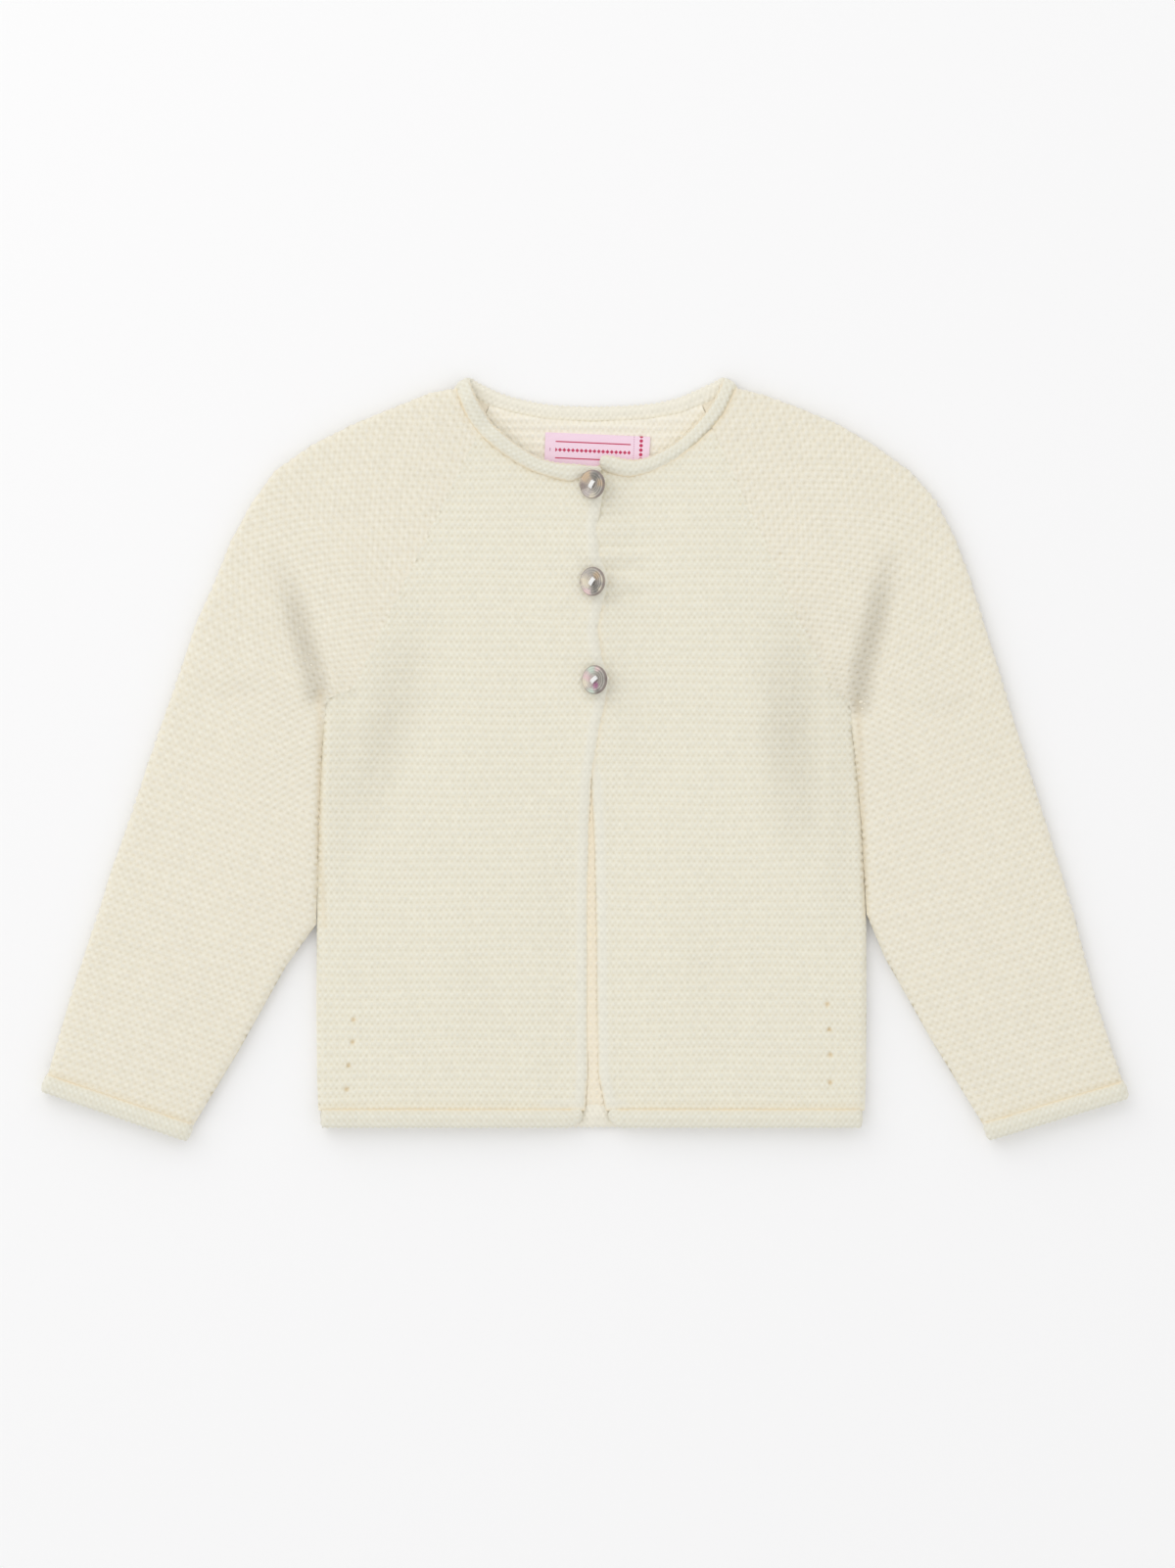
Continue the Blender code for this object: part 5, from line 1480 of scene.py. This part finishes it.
def button_middle(place):
    """The middle of a button, from the box of its solid."""
    low, high = (np.array(corner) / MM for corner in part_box("button_" + place))
    sine, cosine = math.sin(BUTTON_TILT), math.cos(BUTTON_TILT)
    hang = max(radius * sine - height * cosine for radius, height in BUTTON_SECTION)
    return np.array([*(low + high)[:2] / 2, low[2] + hang])


def button_section():
    """Points of half the section, with fine turned rings over the dish and the rim."""
    rows = through(BUTTON_SECTION, np.linspace(0, len(BUTTON_SECTION) - 1, SECTION_POINTS))
    ringed = (rows[:, 1] > RINGED_OVER) & (rows[:, 0] < RINGED_TO)
    rows[ringed, 1] += RING_DEPTH * np.cos(2 * np.pi * rows[ringed, 0] / RING_GAP)
    rows[[0, -1], 0] = 0
    return rows * MM


def turned_button(place):
    """A button spun from its section, drilled twice and leaned over in its place."""
    section = button_section()
    mesh = bpy.data.meshes.new("section")
    edges = [(i, i + 1) for i in range(len(section) - 1)]
    mesh.from_pydata([(radius, 0, height) for radius, height in section], edges, [])
    button = bpy.data.objects.new("button", mesh)
    bpy.context.scene.collection.objects.link(button)
    bpy.ops.object.select_all(action="DESELECT")
    button.select_set(True)
    bpy.context.view_layer.objects.active = button
    bpy.ops.object.mode_set(mode="EDIT")
    bpy.ops.mesh.select_all(action="SELECT")
    bpy.ops.mesh.spin(steps=BUTTON_TURNS, angle=2 * math.pi, center=(0, 0, 0), axis=(0, 0, 1))
    bpy.ops.mesh.select_all(action="SELECT")
    bpy.ops.mesh.remove_doubles(threshold=2 * SAME_PLACE)
    bpy.ops.mesh.normals_make_consistent(inside=False)
    bpy.ops.object.mode_set(mode="OBJECT")
    angle = math.radians(HOLE_TURNS[place])
    for sign in (-1, 1):
        aside = sign * HOLE_OFFSET * MM
        bpy.ops.mesh.primitive_cylinder_add(
            vertices=DRILL_SIDES, radius=HOLE_RADIUS * MM, depth=DRILL_LENGTH * MM,
            location=(aside * math.cos(angle), aside * math.sin(angle), 0),
        )
        drill = bpy.context.object
        hole = button.modifiers.new("hole", "BOOLEAN")
        hole.operation = "DIFFERENCE"
        hole.object = drill
        apply_modifiers(button)
        bpy.data.objects.remove(drill)
    turned = button.data.uv_layers.new(name="turned")
    for loop in button.data.loops:
        point = button.data.vertices[loop.vertex_index].co / (BUTTON_RADIUS * MM)
        turned.uv[loop.index].vector = (point.x, point.y)
    button.data.shade_smooth()
    button.data.set_sharp_from_angle(angle=SHARP_RIM)
    button.location = button_middle(place) * MM
    button.rotation_euler = (0, -BUTTON_TILT, 0)
    return button


# %% Shell
TAN, CREAM, GREY = (0.62, 0.46, 0.30), (0.80, 0.72, 0.56), (0.42, 0.395, 0.35)
SMOKE, INK, BARK = (0.20, 0.19, 0.17), (0.05, 0.05, 0.05), (0.26, 0.20, 0.18)
LILAC, PINK, MAGENTA, SEA = (0.52, 0.46, 0.44), (0.82, 0.60, 0.60), (0.44, 0.13, 0.30), (0.60, 0.70, 0.60)
# The clouds of colour in each shell: across, up and size in radii of the button, and the tint.
SHELL_CLOUDS = {
    "top": [
        (-0.5, 0.6, 0.7, TAN), (0.35, 0.6, 0.55, SMOKE), (0.7, 0.05, 0.42, TAN), (0.45, -0.5, 0.5, GREY),
        (0.0, -0.95, 0.5, CREAM), (-0.75, -0.15, 0.45, BARK), (-0.4, -0.6, 0.35, LILAC),
        # The ink cloud at the right rim is painted shade on that side of the rim.
        (1.1, 0.3, 0.3, INK),
    ],
    "middle": [
        (-0.55, 0.0, 0.55, CREAM), (0.05, 0.8, 0.45, GREY), (0.4, 0.4, 0.4, TAN), (0.3, -0.5, 0.6, SMOKE),
        (-0.45, -0.8, 0.5, PINK), (0.95, 0.2, 0.4, CREAM), (-1.0, 0.0, 0.28, BARK),
        # The small cream cloud low on the right is a painted highlight.
        (0.75, -0.6, 0.3, CREAM),
    ],
    "bottom": [
        (-0.55, 0.2, 0.45, PINK), (-0.85, -0.3, 0.5, CREAM), (-0.2, 0.7, 0.5, SEA), (0.6, 0.15, 0.65, GREY),
        # The ink cloud at the right rim is painted shade on that side of the rim.
        (0.1, -0.4, 0.36, MAGENTA), (-0.2, -0.85, 0.45, SEA), (1.08, 0.1, 0.3, INK),
        (0.4, -0.85, 0.35, SMOKE), (0.3, 0.8, 0.3, PINK),
    ],
}
CLOUD_CORE, CLOUD_STRENGTH = 0.35, 0.9  # a cloud is full from its middle to this share of its size
FAN, WOBBLE = (2.1, 2.1, 0), (0.5, 0.5, 0)
RING_STRENGTH = (-0.3, 0.7, 0.12, 0.62)  # the rings are painted shade, fainter on the left and stronger on the right
RIM_SHADE = (0.86, 0.97, 0, 0.7)  # from and to, in radii, and how much painted shade darkens the rim there


def shell_finish(place):
    """Grey shell with clouds of colour, among them painted shade and a painted highlight, streaks that fan
    out, the turned rings drawn in as painted shade, and painted shade at the rim.
    """
    finish, tree, shader = new_finish("shell_" + place, 0.3)
    shader.inputs["Coat Weight"].default_value = 0.25
    shader.inputs["Coat Roughness"].default_value = 0.08
    uv = uv_of(tree, "turned")
    shaken = vectors(tree, "MULTIPLY_ADD", noise(tree, uv, 2.6, 3, output="Color"), WOBBLE, uv)
    shaken = vectors(tree, "ADD", shaken, (-WOBBLE[0] / 2, -WOBBLE[1] / 2, 0))
    fan = vectors(tree, "MULTIPLY_ADD", vectors(tree, "NORMALIZE", uv), FAN, shaken)
    streaks = spread(tree, noise(tree, fan, 1.6, 4), 0.35, 0.65, 0, 1)
    colour = blended(tree, streaks, GREY, LILAC)
    for x, y, size, tint in SHELL_CLOUDS[place]:
        far = vectors(tree, "LENGTH", vectors(tree, "SUBTRACT", shaken, (x, y, 0)))
        share = spread(tree, far, CLOUD_CORE * size, size, CLOUD_STRENGTH, 0)
        colour = blended(tree, share, colour, tint)
    colour = blended(tree, spread(tree, streaks, 0.6, 1, 0, 0.25), colour, CREAM)
    radius = vectors(tree, "LENGTH", uv)
    ring = maths(tree, "SINE", maths(tree, "MULTIPLY", radius, 2 * math.pi * BUTTON_RADIUS / RING_GAP))
    strength = spread(tree, parted(tree, uv)[0], *RING_STRENGTH)
    colour = blended(tree, maths(tree, "MULTIPLY", spread(tree, ring, -1, 1, 0, 1), strength), colour, INK)
    colour = blended(tree, spread(tree, radius, *RIM_SHADE), colour, BARK)
    tree.links.new(colour, shader.inputs["Base Color"])
    return finish


for place in SHELL_CLOUDS:
    solid = "button_" + place
    settle(turned_button(place), solid + "_turned", "shell", shell_finish(place), solid)

# %% [markdown]
# ## Sewing thread
# Each button is held by four strands of white thread that lie side by side over the space between the
# two holes and go down through the cloth. Each strand is a curve with a round bevel, and then all four
# are made one mesh.

# %% Four strands a button
STRAND_RADIUS = 0.27
STRANDS = (-1.5, -0.5, 0.5, 1.5)
STRAND_GAP = 1.8  # from strand to strand, in radii of a strand
STRAND_POINTS = 46
THREAD_FOOT = 5.9
# Half of a strand's way, up through its hole and over: shares of the hole's offset and of the strand's
# own place beside the others, and the height over the button's middle.
STRAND_WAY = [(1.0, 0.55, -1.5), (1.05, 0.55, 0.1), (1.4, 0.9, 0.5), (1.15, 1.0, 0.9), (0.5, 1.0, 1.1)]


def stitched_thread(place):
    """Four strands from hole to hole of a button, as one mesh."""
    middle, angle = button_middle(place), math.radians(HOLE_TURNS[place])
    lean = np.array([math.cos(BUTTON_TILT), 0, math.sin(BUTTON_TILT)])
    normal = np.array([-math.sin(BUTTON_TILT), 0, math.cos(BUTTON_TILT)])
    across = lean * math.cos(angle) + np.array([0, math.sin(angle), 0])
    beside = np.array([0, math.cos(angle), 0]) - lean * math.sin(angle)
    curve = bpy.data.curves.new("strands", "CURVE")
    curve.dimensions = "3D"
    curve.bevel_depth = STRAND_RADIUS * MM
    curve.bevel_resolution = 3
    curve.use_fill_caps = True
    for number in STRANDS:
        path = []
        for sign in (-1, 1):
            leg = [
                middle + across * sign * HOLE_OFFSET * out + normal * height
                + beside * number * STRAND_GAP * STRAND_RADIUS * apart
                for out, apart, height in STRAND_WAY
            ]
            leg.insert(0, np.array([*leg[0][:2], THREAD_FOOT]))
            path += leg if sign < 0 else leg[::-1]
        rows = through(path, np.linspace(0, len(path) - 1, STRAND_POINTS)) * MM
        spline = curve.splines.new("POLY")
        spline.points.add(len(rows) - 1)
        for knot, row in zip(spline.points, rows):
            knot.co = (*row, 1)
    strands = bpy.data.objects.new("strands", curve)
    bpy.context.scene.collection.objects.link(strands)
    bpy.ops.object.select_all(action="DESELECT")
    strands.select_set(True)
    bpy.context.view_layer.objects.active = strands
    bpy.ops.object.convert(target="MESH")
    piece = bpy.context.object
    piece.data.shade_smooth()
    return piece


COTTON = ((0.86, 0.86, 0.85), (0.95, 0.95, 0.95))


def thread_finish():
    finish, tree, shader = new_finish("white_cotton", 0.75)
    fibre = noise(tree, place_of(tree), 3500)
    tree.links.new(blended(tree, fibre, *COTTON), shader.inputs["Base Color"])
    tree.links.new(bumped(tree, fibre, 1, 0.08), shader.inputs["Normal"])
    return finish


white_cotton = thread_finish()
for place in HOLE_TURNS:
    solid = "thread_" + place
    settle(stitched_thread(place), solid + "_strands", "white_thread", white_cotton, solid)
